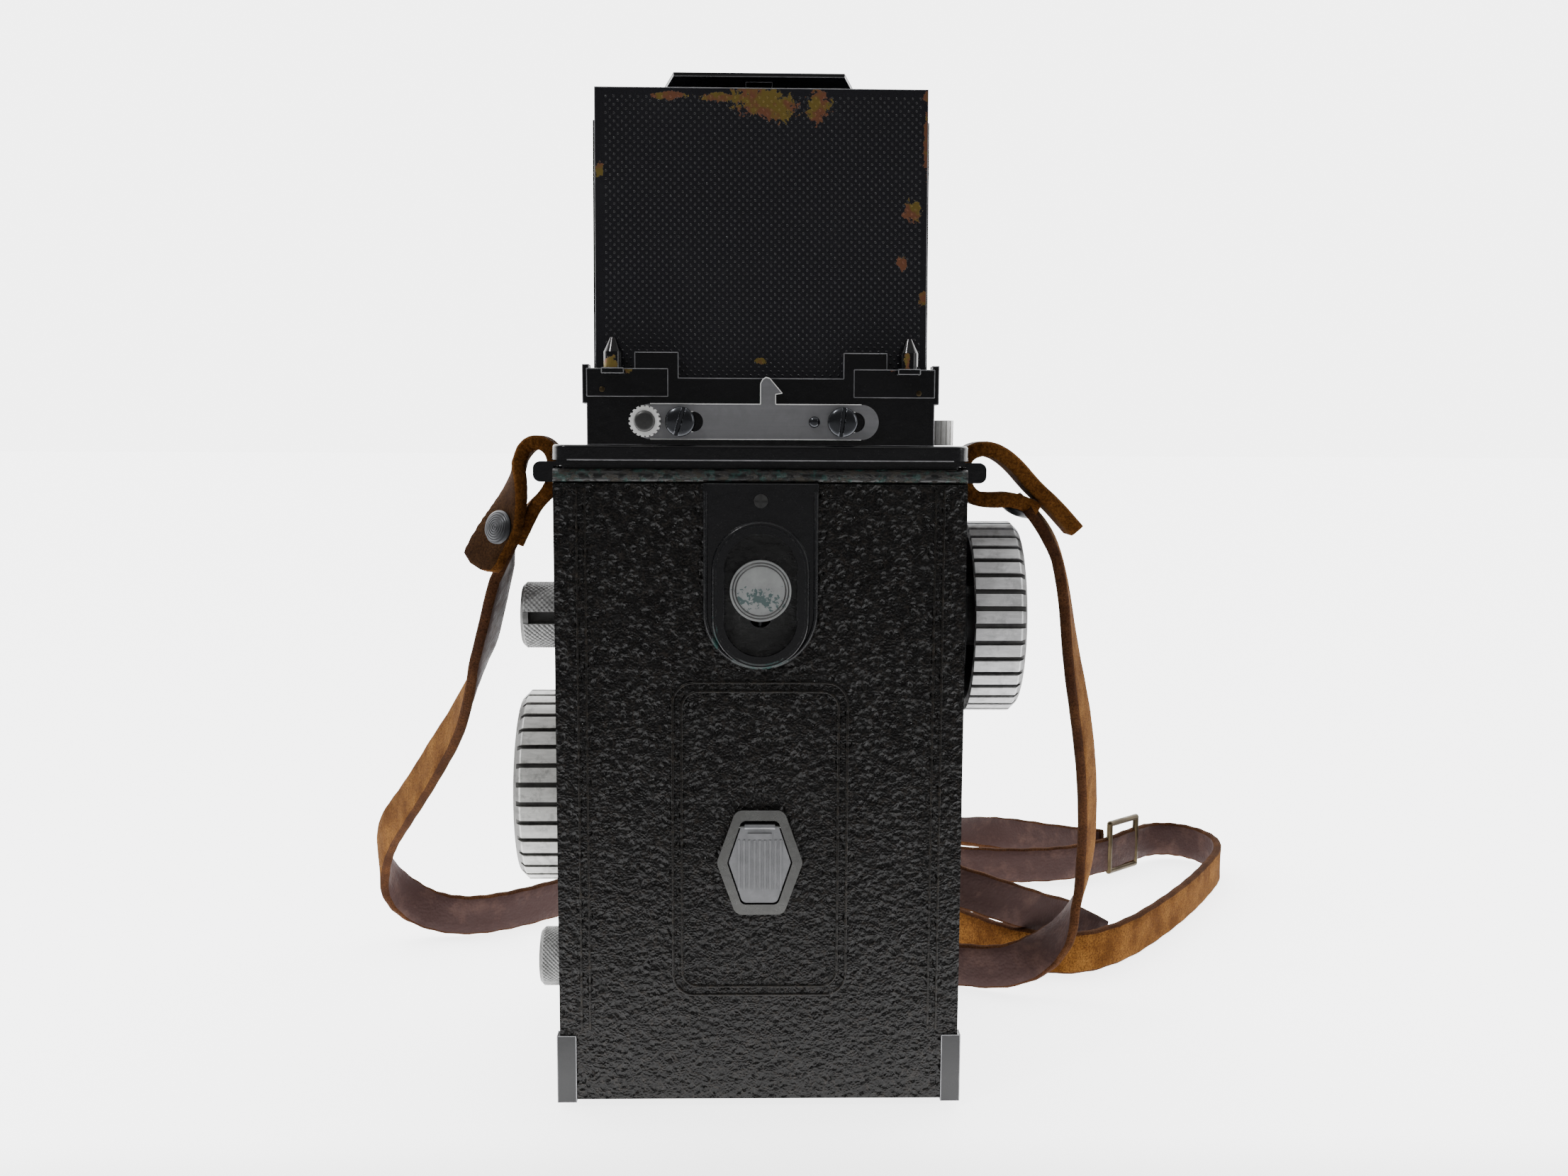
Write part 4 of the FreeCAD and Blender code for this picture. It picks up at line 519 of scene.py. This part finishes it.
TAIL_ROUTE = [
    (-52.0, 17.0, 117.0), (-58.0, 15.0, 111.0), (-62.0, 10.0, 101.0), (-65.0, 4.0, 86.0),
    (-70.0, -5.0, 69.0), (-74.0, -15.0, 51.0), (-76.0, -24.0, 35.0), (-75.0, -26.5, 22.0),
    (-70.5, -27.5, 12.5), (-61.0, -28.0, 6.5), (-49.0, -32.0, 5.4), (-37.5, -41.0, 5.4),
    (-21.5, -44.5, 5.4), (-8.0, -51.0, 5.4), (-2.0, -63.0, 5.4), (-6.0, -76.0, 5.4),
    (-18.0, -84.0, 5.4), (-32.0, -84.0, 5.4), (-44.0, -76.0, 5.4), (-53.0, -62.0, 5.4),
    (-63.0, -46.0, 5.4), (-77.0, -39.5, 5.4), (-92.0, -51.0, 5.4), (-107.0, -71.5, 5.4),
    (-120.0, -92.0, 5.4), (-130.5, -111.0, 5.4), (-138.5, -127.5, 5.4), (-140.5, -141.5, 5.5),
    (-134.5, -152.5, 6.0), (-124.5, -152.5, 6.5), (-115.5, -142.5, 7.0), (-104.5, -132.0, 6.0),
    (-91.0, -125.5, 5.4), (-75.0, -123.5, 5.4), (-59.0, -126.5, 5.4), (-43.0, -131.5, 4.0),
    (-29.0, -135.0, 3.0), (-19.0, -129.5, 3.0), (-8.0, -120.0, 4.5), (-2.5, -106.0, 8.5),
    (-3.0, -91.0, 14.0), (-9.0, -76.0, 19.0), (-19.0, -63.0, 23.0), (-32.0, -52.0, 25.0),
    (-46.0, -45.0, 22.5), (-61.0, -44.5, 17.5), (-75.0, -50.0, 11.5), (-89.0, -60.0, 6.4),
]
TAIL_FACING = [
    (-0.3, 0.2, 0.9), (-0.8, 0.2, 0.5), (-0.95, 0.2, 0.15), (-0.95, 0.3, 0.05), (-0.92, 0.4, 0.0),
    (-0.9, 0.45, 0.0), (-0.88, 0.45, 0.0), (-0.95, 0.25, -0.1), (-0.8, -0.4, -0.3),
    (-0.5, -0.85, -0.1), (-0.55, -0.83, 0.0), (-0.45, -0.9, 0.0), (-0.3, -0.95, 0.0),
    (-0.75, -0.65, 0.0), (-1.0, 0.1, 0.0), (-0.8, 0.6, 0.0), (-0.2, 1.0, 0.0), (0.3, 0.95, 0.0),
    (0.7, 0.7, 0.0), (0.85, 0.52, 0.0), (0.7, 0.7, 0.0), (-0.05, 1.0, 0.0), (-0.6, 0.8, 0.0),
    (-0.84, 0.54, 0.0), (-0.9, 0.42, 0.0), (-0.92, 0.38, 0.0), (-0.98, 0.2, 0.0),
    (-0.95, -0.3, 0.0), (-0.45, -0.9, 0.0), (0.5, -0.87, 0.0), (0.72, -0.7, 0.0), (0.6, -0.8, 0.0),
    (0.3, -0.95, 0.0), (0.1, -1.0, 0.0), (0.0, -1.0, -0.1), (0.0, -0.7, -0.7), (0.1, -0.2, -1.0),
    (0.0, 0.1, -1.0), (-0.2, 0.0, -1.0), (-0.5, 0.0, -0.85), (-0.9, -0.2, -0.4), (-0.85, -0.5, 0.0),
    (-0.7, -0.7, 0.0), (-0.5, -0.85, 0.0), (-0.15, -1.0, 0.0), (0.15, -1.0, 0.0), (0.4, -0.9, 0.0),
    (0.55, -0.83, 0.0),
]

buckle_points = spline_points(BUCKLE_ROUTE)
tail_points = spline_points(TAIL_ROUTE)


def path_length(points):
    return sum((b - a).length for a, b in zip(points, points[1:]))


BAND_THICK, BAND_WAVE = 2.2 * MM, 0.12 * MM
buckle_facings = facing_along(buckle_points, BUCKLE_FACING)
tail_facings = facing_along(tail_points, TAIL_FACING)
buckle_side = band("strap_buckle_side_band", buckle_points, buckle_facings, BAND_THICK, "body",
                   wave=BAND_WAVE, seed=1.3, edge_paint=BAND_EDGE)
tail_side = band("strap_tail_side_band", tail_points, tail_facings, BAND_THICK, "body",
                 point_end=True, wave=BAND_WAVE, seed=0.8, edge_paint=BAND_EDGE)
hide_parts("strap_buckle_side")
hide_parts("strap_tail_side")

# the ends round the lugs, each a loop from the rivet over the bar and back
LEFT_END = [
    (55.0, 20.4, 104.0), (52.9, 20.4, 108.0), (50.4, 20.2, 112.0), (48.9, 19.4, 116.0),
    (47.9, 18.2, 120.0), (47.4, 17.4, 123.6), (46.4, 17.0, 126.8), (43.9, 17.0, 128.8),
    (40.6, 17.0, 127.4), (39.6, 17.0, 123.0), (40.8, 17.0, 119.4), (43.8, 16.6, 116.6),
    (46.4, 16.4, 113.0), (48.2, 15.9, 109.6),
]
LEFT_END_FACING = [
    (-0.5, -0.85, -0.2), (-0.5, -0.85, -0.2), (-0.55, -0.82, -0.2), (-0.75, -0.6, -0.2),
    (-0.9, -0.35, -0.1), (-0.95, -0.1, 0.0), (-0.6, 0.0, -0.8), (0.0, 0.0, -1.0), (0.8, 0.0, -0.5),
    (1.0, 0.0, 0.0), (0.8, 0.0, 0.5), (0.6, 0.1, 0.8), (0.85, 0.2, 0.4), (0.93, 0.2, 0.2),
]
RIGHT_END = [
    (-62.4, 17.0, 111.6), (-58.4, 17.0, 116.2), (-53.9, 17.0, 120.0), (-49.9, 17.0, 124.7),
    (-46.0, 17.0, 127.4), (-42.4, 17.0, 127.6), (-39.6, 17.0, 125.6), (-39.6, 17.0, 121.0),
    (-41.8, 17.0, 117.8), (-45.8, 17.0, 117.4), (-50.4, 17.0, 117.8), (-54.4, 16.8, 115.6),
]
RIGHT_END_FACING = [
    (0.7, 0.0, -0.7), (0.7, 0.0, -0.7), (0.65, 0.0, -0.75), (0.7, 0.0, -0.7), (0.3, 0.0, -1.0),
    (-0.3, 0.0, -1.0), (-0.9, 0.0, -0.4), (-0.9, 0.0, 0.4), (-0.1, 0.0, 1.0), (0.0, 0.0, 1.0),
    (-0.2, 0.0, 0.95), (-0.5, 0.0, 0.85),
]
left_points = spline_points(LEFT_END)
right_points = spline_points(RIGHT_END)
left_facings = facing_along(left_points, LEFT_END_FACING)
right_facings = facing_along(right_points, RIGHT_END_FACING)
left_end = band("strap_left_end", left_points[::-1], left_facings[::-1], 2.7 * MM, "body",
                half=4.6 * MM, point_end=True, seed=1.1)
right_end = band("strap_right_end", right_points, right_facings, 2.9 * MM, "body",
                 half=4.8 * MM, seed=0.9)
WORN_HIDE = paint_suede("worn_hide", (0.040, 0.018, 0.009), (0.085, 0.042, 0.018), (0.012, 0.006, 0.004))
left_end.material_slots[1].material = WORN_HIDE
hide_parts("strap_ends")
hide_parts("strap_ends")


def lathe(name, profile, at, way, body, paint, steps=48, slot_half=0.0, slot_floor=0.0):
    """Turns a profile of (radius, height) points about a direction; a slot may cross its face."""
    way = Vector(way).normalized()
    side = way.orthogonal().normalized()
    other = way.cross(side)
    verts, faces = [], []
    for radius, height in profile:
        for k in range(steps):
            a = math.tau * k / steps
            u, v = radius * math.cos(a), radius * math.sin(a)
            level = min(height, slot_floor) if abs(u) < slot_half else height
            verts.append((Vector(at) + side * u + other * v + way * level) * MM)
    for i in range(len(profile) - 1):
        for k in range(steps):
            m = (k + 1) % steps
            faces.append((i * steps + k, i * steps + m, (i + 1) * steps + m, (i + 1) * steps + k))
    faces.append(tuple((len(profile) - 1) * steps + k for k in range(steps)))
    faces.append(tuple(reversed(range(steps))))
    return add_mesh(name, verts, faces, body, paint)


def stud_profile(r):
    """A low dome with fine turned rings, from its underside to its centre."""
    points = [(r * 0.5, -1.6), (r * 0.5, 0.0), (r, 0.0), (r, 0.25)]
    for i in range(28):
        share = 1.0 - i / 28
        rise = 0.25 + 1.05 * math.sqrt(1.0 - (share * 0.97) ** 2)
        points.append((r * share * 0.99, rise + 0.05 * math.sin(share * 44.0)))
    return points + [(0.05, 1.3)]


STUD_METAL = paint_steel("stud_metal", (0.075, 0.076, 0.08), (0.3, 0.5), (400.0, 400.0, 400.0), 0.5)
STUD_WAY = (0.58, 0.79, 0.2)
LEFT_STUD_AT = Vector((50.1, 20.3, 111.5)) + Vector(STUD_WAY) * 1.3
RIGHT_STUD_AT, RIGHT_STUD_WAY = (-51.2, 17.6, 115.6), (0.35, 0.0, -0.93)
left_stud = lathe("strap_stud_left", stud_profile(3.45), LEFT_STUD_AT, STUD_WAY, "body", STUD_METAL)
right_stud = lathe("strap_stud_right", stud_profile(3.3), RIGHT_STUD_AT, RIGHT_STUD_WAY, "body", STUD_METAL)
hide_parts("strap_rivets")
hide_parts("strap_rivets")
print("strap lengths", path_length(buckle_points), path_length(tail_points))


# ---------------------------------------------------------------- hood details
# Positions and sizes are in millimetres from here on.
DOT_RINGS = ((0.26, 0.0), (0.17, 0.09), (0.0, 0.13))
DOT_SIDES = 6
DOT_PITCH = 1.49
DOT_HALF, DOT_LOW, DOT_HIGH = 29.4, 133.5, 192.0
PANEL_FACE_Y, PANEL_FOOT_Z = 32.56, 130.2
LEAN = math.tan(math.radians(3.0))
LATCH_Z = 132.3


def panel_face(z):
    """The rear panel's outer face at a height."""
    return PANEL_FACE_Y - LEAN * (z - PANEL_FOOT_Z)


def dot_grid(name, half, z0, z1, y_at, pitch, body, paint):
    """Raised dots in staggered rows on a leaning sheet; y_at gives the sheet's face for a height."""
    verts, faces = [], []
    row, z = 0, z0
    while z < z1:
        x = -half + (pitch / 2 if row % 2 else 0.0)
        while x < half:
            base = len(verts)
            y = y_at(z)
            for radius, lift in DOT_RINGS:
                for k in range(DOT_SIDES if radius else 1):
                    a = math.tau * k / DOT_SIDES
                    spot = (x + radius * math.cos(a), y + lift, z + radius * math.sin(a))
                    verts.append(tuple(c * MM for c in spot))
            inner, tip = base + DOT_SIDES, base + 2 * DOT_SIDES
            for k in range(DOT_SIDES):
                m = (k + 1) % DOT_SIDES
                faces.append((base + k, base + m, inner + m, inner + k))
                faces.append((inner + k, inner + m, tip))
            x += pitch
        z += pitch / 2
        row += 1
    return add_mesh(name, verts, faces, body, paint)


DOTS = paint_enamel("enamel_dots", REAR_SPOTS, (0.012, 0.012, 0.014), (0.14, 0.26), specks=0.62)
dot_grid("rear_panel_dots", DOT_HALF, DOT_LOW, DOT_HIGH, panel_face, DOT_PITCH, "rear_panel", DOTS)


def screw_head(name, x, z, y, r, body, paint, tilt):
    """A domed slotted head that stands on a flat one."""
    rim, dome, slot_half, slot_floor = 0.5, 0.9, 0.36, 0.55
    angles = np.linspace(0.08, 1.5, 26)
    profile = [(r, 0.0), (r, rim)] + [(r * math.cos(a), rim + dome * math.sin(a)) for a in angles]
    head = lathe(name, profile, (0, 0, 0), (0, 1, 0), body, paint, 96, slot_half, slot_floor)
    spin = Matrix.Rotation(math.radians(tilt), 4, "Y")
    head.data.transform(Matrix.Translation(Vector((x, y, z)) * MM) @ spin)


for x, tilt in ((-15.1, 38.0), (15.0, 28.0)):
    side = "left" if x > 0 else "right"
    screw_head(f"latch_screw_{side}", x, LATCH_Z, 36.0, 2.75, "body", SCREW_METAL, tilt)
dome = [(1.05, 0.0), (1.0, 0.25), (0.8, 0.5), (0.45, 0.66), (0.05, 0.7)]
lathe("latch_rivet_dome", dome, (-9.9, 35.1, LATCH_Z), (0, 1, 0), "hood_latch", SCREW_METAL)
boss = [(1.95, 0.0), (1.95, 0.35), (1.75, 0.6), (1.3, 0.72), (0.05, 0.62)]
lathe("latch_knob_centre", boss, (21.4, 37.9, LATCH_Z), (0, 1, 0), "hood_latch", STEEL_DARK)
rivet = [(0.55, 0.0), (0.52, 0.12), (0.3, 0.22), (0.03, 0.24)]
for x, z in ((29.5, 138.2), (-29.4, 137.7)):
    side = "left" if x > 0 else "right"
    lathe(f"hood_rivet_{side}", rivet, (x, 33.72, z), (0, 1, 0), "body", BRONZE)


def knurled_sleeve(name, y, z, r, x0, x1, count, body, paint, gap=None):
    """A diamond knurl round a knob's rim, left open where a slot crosses it."""
    height, steepness, fineness = 0.26, 1.2, 6
    pitch = math.tau * r / count
    rows = round((x1 - x0) / pitch * fineness)
    start, span = (0.0, math.tau) if gap is None else (gap, math.tau - 2 * gap)
    columns = round(count * fineness * span / math.tau)
    verts, faces = [], []
    for i in range(rows + 1):
        x = x0 + (x1 - x0) * i / rows
        for k in range(columns + 1):
            a = start + span * k / columns
            u, v = r * a / pitch, (x - x0) / pitch
            diamond = abs((u + v) % 1.0 - 0.5) + abs((u - v) % 1.0 - 0.5)
            radius = r + height * min(1.0, diamond * steepness) * (1.0 if 0 < i < rows else 0.0)
            verts.append((x * MM, (y + radius * math.cos(a)) * MM, (z + radius * math.sin(a)) * MM))
    for i in range(rows):
        for k in range(columns):
            a = i * (columns + 1) + k
            faces.append((a, a + columns + 1, a + columns + 2, a + 1))
    return add_mesh(name, verts, faces, body, paint, smooth=False)


knurled_sleeve("upper_knob_knurl", 13.5, 94.0, 6.42, 39.3, 46.7, 40, "upper_pull", KNURL_METAL, gap=0.19)
knurled_sleeve("lower_knob_knurl", 7.0, 21.0, 5.92, 39.3, 44.9, 44, "lower_pull", KNURL_LOW)

# ---------------------------------------------------------------- back details
def ridge(name, points, radius, body, paint, closed=False):
    """A fine raised line through the points, in millimetres."""
    curve = bpy.data.curves.new(name, "CURVE")
    curve.dimensions = "3D"
    curve.bevel_depth = radius * MM
    curve.bevel_resolution = 2
    spline = curve.splines.new("POLY")
    spline.points.add(len(points) - 1)
    for point, at in zip(spline.points, points):
        point.co = (at[0] * MM, at[1] * MM, at[2] * MM, 1.0)
    spline.use_cyclic_u = closed
    temp = bpy.data.objects.new(name, curve)
    bpy.context.scene.collection.objects.link(temp)
    bpy.context.view_layer.update()
    mesh = bpy.data.meshes.new_from_object(temp.evaluated_get(bpy.context.evaluated_depsgraph_get()))
    bpy.data.objects.remove(temp)
    bpy.data.curves.remove(curve)
    mesh.name = name
    mesh.materials.clear()
    mesh.materials.append(paint)
    obj = bpy.data.objects.new(name, mesh)
    bpy.context.scene.collection.objects.link(obj)
    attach(obj, body)
    return obj


def rounded_frame(half_x, z0, z1, corner, y):
    points = []
    for cx, cz, start in ((half_x - corner, z1 - corner, 0), (-half_x + corner, z1 - corner, 90),
                          (-half_x + corner, z0 + corner, 180), (half_x - corner, z0 + corner, 270)):
        for k in range(7):
            a = math.radians(start + 15 * k)
            points.append((cx + corner * math.cos(a), y, cz + corner * math.sin(a)))
    return points


def half_circle(steps, start):
    """Angles over half a turn from the start, both ends included."""
    return [start + math.pi * k / steps for k in range(steps + 1)]


def stadium(offset, z0, z1):
    """Points round an upright oval whose straight sides run from z0 to z1."""
    points = []
    for centre, start in ((z1, 0.0), (z0, math.pi)):
        for a in half_circle(24, start):
            points.append((offset * math.cos(a), centre + offset * math.sin(a)))
    return points


WELL_LOW, WELL_HIGH, WELL_FACE_Y = 95.4, 104.8, 35.2


def latch_ring():
    """The rounded rim round the release button's well."""
    profile = [(6.95, -0.9), (7.0, 0.5), (7.3, 1.25), (7.8, 1.7), (8.4, 1.85), (8.95, 1.55), (9.25, 1.05)]
    verts, faces = [], []
    for offset, lift in profile:
        oval = stadium(offset, WELL_LOW, WELL_HIGH)
        verts += [(x * MM, (WELL_FACE_Y + lift) * MM, z * MM) for x, z in oval]
    count = len(verts) // len(profile)
    for i in range(len(profile) - 1):
        for k in range(count):
            m = (k + 1) % count
            faces.append((i * count + k, i * count + m, (i + 1) * count + m, (i + 1) * count + k))
    return add_mesh("latch_ring", verts, faces, "door", AGED_HIGHLIT)


# painted highlight: the ring's lower slope and its lower right side are painted grey and green where they
# catch the light from above
RING_HIGHLIGHT_SPOTS = [(0.0, 37.2, 87.0, 6.5, 3.0, 1.5), (8.6, 37.2, 91.0, 0.7, 3.0, 4.0)]
RING_HIGHLIGHT_TINTS = ((0.060, 0.066, 0.066), (0.012, 0.045, 0.040))
AGED_HIGHLIT = paint_enamel("enamel_aged_highlit", RING_HIGHLIGHT_SPOTS, (0.0042, 0.0044, 0.0055), (0.16, 0.4), 0.0002, 0.55,
                    RING_HIGHLIGHT_TINTS)
latch_ring()
PLATE_HALF, PLATE_TOP, PLATE_ROUND_Z, PLATE_RIM_Y = 10.3, 119.5, 96.85, 36.3
rim = [(PLATE_HALF, PLATE_TOP), (PLATE_HALF, PLATE_ROUND_Z)]
for a in np.linspace(0.0, math.pi, 25):
    rim.append((PLATE_HALF * math.cos(a), PLATE_ROUND_Z - PLATE_HALF * math.sin(a)))
rim += [(-PLATE_HALF, PLATE_ROUND_Z), (-PLATE_HALF, PLATE_TOP)]
ridge("latch_plate_rim", [(x, PLATE_RIM_Y, z) for x, z in rim], 0.38, "door", AGED_HIGHLIT)

BACK_Y = 36.0
BORDER_HALF, BORDER_LOW, BORDER_HIGH, BORDER_CORNER, BORDER_GAP = 16.6, 22.5, 83.5, 4.0, 1.7
for index, inset in enumerate((0.0, BORDER_GAP)):
    line = rounded_frame(BORDER_HALF - inset, BORDER_LOW + inset, BORDER_HIGH - inset,
                         BORDER_CORNER - inset / 2, BACK_Y)
    ridge(f"back_border_{index}", line, 0.28, "door", LEATHER_LINE, closed=True)
CREASE_Y, CREASE_LOW, CREASE_HIGH = BACK_Y - 0.02, 15.5, 120.0
for side, sign in (("right", -1), ("left", 1)):
    for index, x in enumerate((32.7, 34.3)):
        line = [(sign * x, CREASE_Y, CREASE_LOW), (sign * x, CREASE_Y, CREASE_HIGH)]
        ridge(f"crease_{side}_{index}", line, 0.24, "door", LEATHER_LINE)


WELD = 0.000001
SHORTEST_EDGE = 0.0006
SHARP_ANGLE = 0.8
LINE_SIDES = 6


def edge_highlight_lines(node_name, body, radius, paint):
    """Thin lines along the sharp outer edges of a CAD piece, painted as a highlight on those edges."""
    work = bmesh.new()
    work.from_mesh(NODES[node_name].data)
    bmesh.ops.remove_doubles(work, verts=work.verts, dist=WELD)
    verts, faces = [], []
    for edge in work.edges:
        if len(edge.link_faces) != 2 or not edge.is_convex:
            continue
        if edge.calc_face_angle() < SHARP_ANGLE:
            continue
        ends = [v.co.copy() for v in edge.verts]
        if (ends[1] - ends[0]).length < SHORTEST_EDGE:
            continue
        along = (ends[1] - ends[0]).normalized()
        side = along.orthogonal().normalized()
        other = along.cross(side)
        first = len(verts)
        for end in ends:
            for k in range(LINE_SIDES):
                a = math.tau * k / LINE_SIDES
                verts.append(end + (side * math.cos(a) + other * math.sin(a)) * radius)
        second = first + LINE_SIDES
        for k in range(LINE_SIDES):
            m = (k + 1) % LINE_SIDES
            faces.append((first + k, first + m, second + m, second + k))
    work.free()
    return add_mesh(node_name + "_edge_highlight_lines", verts, faces, body, paint)


# painted highlight: thin grey and white metal lines along the sharp edges of these pieces; the escutcheon's
# lines are in its aged enamel
for node_name, body, radius, paint in (
        ("top_plate", "body", 0.13, EDGE_HIGHLIGHT_METAL), ("hood_base", "body", 0.10, EDGE_HIGHLIGHT_METAL),
        ("hood_rear_panel", "rear_panel", 0.08, EDGE_HIGHLIGHT_METAL), ("hood_lid", "lid", 0.08, EDGE_HIGHLIGHT_METAL),
        ("latch_bar", "hood_latch", 0.09, DIAL_METAL), ("latch_escutcheon", "door", 0.10, AGED_HIGHLIT),
        ("corner_guards", "door", 0.10, EDGE_HIGHLIGHT_METAL)):
    edge_highlight_lines(node_name, body, radius * MM, paint)

button_face = max(v.co.y for v in NODES["release_button"].data.vertices) / MM
BUTTON_Z = 101.0
# painted shade: two dark rings on the button's face stand in for the shade down in its turned grooves
for index, r in enumerate((4.7, 5.25)):
    angles = np.linspace(0.0, math.tau, 49)[:-1]
    circle = [(r * math.cos(a), button_face, BUTTON_Z + r * math.sin(a)) for a in angles]
    ridge(f"button_ring_{index}", circle, 0.13, "door_latch", STEEL_DARK, closed=True)


# ---------------------------------------------------------------- stage and light, in metres
WALL_LEVEL, ROOM_LEVEL, CEILING_LEVEL = 5.0, 0.17, 0.5
WALL_SPAN, CEILING_SPAN = (-0.45, 0.15), (0.45, 0.9)
FLOOR_SIZE, FLOOR_Z, FLOOR_GLOW = 40.0, -0.0001, 3.4
FLOOR_COLOR = (0.8, 0.8, 0.81)
SUBJECT = (0, 0.03, 0.09)


def area(name, at, size, power):
    data = bpy.data.lights.new(name, "AREA")
    data.shape = "RECTANGLE"
    data.size, data.size_y = size
    data.energy = power
    lamp = bpy.data.objects.new(name, data)
    lamp.location = at
    lamp.rotation_euler = (Vector(SUBJECT) - Vector(at)).to_track_quat("-Z", "Y").to_euler()
    bpy.context.scene.collection.objects.link(lamp)


area("key_light", (0.42, 0.42, 0.80), (0.09, 0.09), 2.4)
area("side_light", (-0.75, 0.35, 0.35), (0.2, 0.4), 0.9)


def studio_world():
    """A bright wall behind the object, a soft ceiling and a dim room in front."""
    world = bpy.data.worlds.new("studio")
    world.use_nodes = True
    nodes, links = world.node_tree.nodes, world.node_tree.links
    way = nodes.new("ShaderNodeSeparateXYZ")
    links.new(nodes.new("ShaderNodeTexCoord").outputs["Generated"], way.inputs[0])
    levels = []
    wall, ceiling = (WALL_LEVEL, ROOM_LEVEL), (0.0, CEILING_LEVEL)
    for axis, span, change in (("Y", WALL_SPAN, wall), ("Z", CEILING_SPAN, ceiling)):
        node = nodes.new("ShaderNodeMapRange")
        node.interpolation_type = "SMOOTHSTEP"
        for key, value in zip(("From Min", "From Max", "To Min", "To Max"), span + change):
            node.inputs[key].default_value = value
        links.new(way.outputs[axis], node.inputs["Value"])
        levels.append(node.outputs["Result"])
    total = nodes.new("ShaderNodeMath")
    links.new(levels[0], total.inputs[0])
    links.new(levels[1], total.inputs[1])
    background = nodes["Background"]
    background.inputs["Color"].default_value = (1.0, 1.0, 1.0, 1.0)
    links.new(total.outputs[0], background.inputs["Strength"])
    return world


bpy.context.scene.world = studio_world()

bpy.ops.mesh.primitive_plane_add(size=FLOOR_SIZE, location=(0, 0, FLOOR_Z))
floor = bpy.context.object
floor.name = "floor"
white = Paint("floor_white", FLOOR_COLOR, 0.7, Specular_IOR_Level=0.0)
# painted shade: the floor's colour darkens towards the viewer; painted light: the floor glows behind and
# under the object, and the glow fades out towards the viewer
shade = white.ramp(white.parts()[1], (0.055, 1.0), (0.22, 0.22))
white.color(white.mix(shade, (0.0, 0.0, 0.0), FLOOR_COLOR))
white.rough(white.ramp(white.noise(3.0), (0.3, 0.65), (0.7, 0.8)))
fade = white.ramp(white.parts()[1], (0.05, 1.0), (0.12, 0.0))
white.shader.inputs["Emission Color"].default_value = (1.0, 1.0, 1.0, 1.0)
white.feed(white.shader.inputs["Emission Strength"], white.math("MULTIPLY", fade, FLOOR_GLOW))
floor.data.materials.append(white.m)
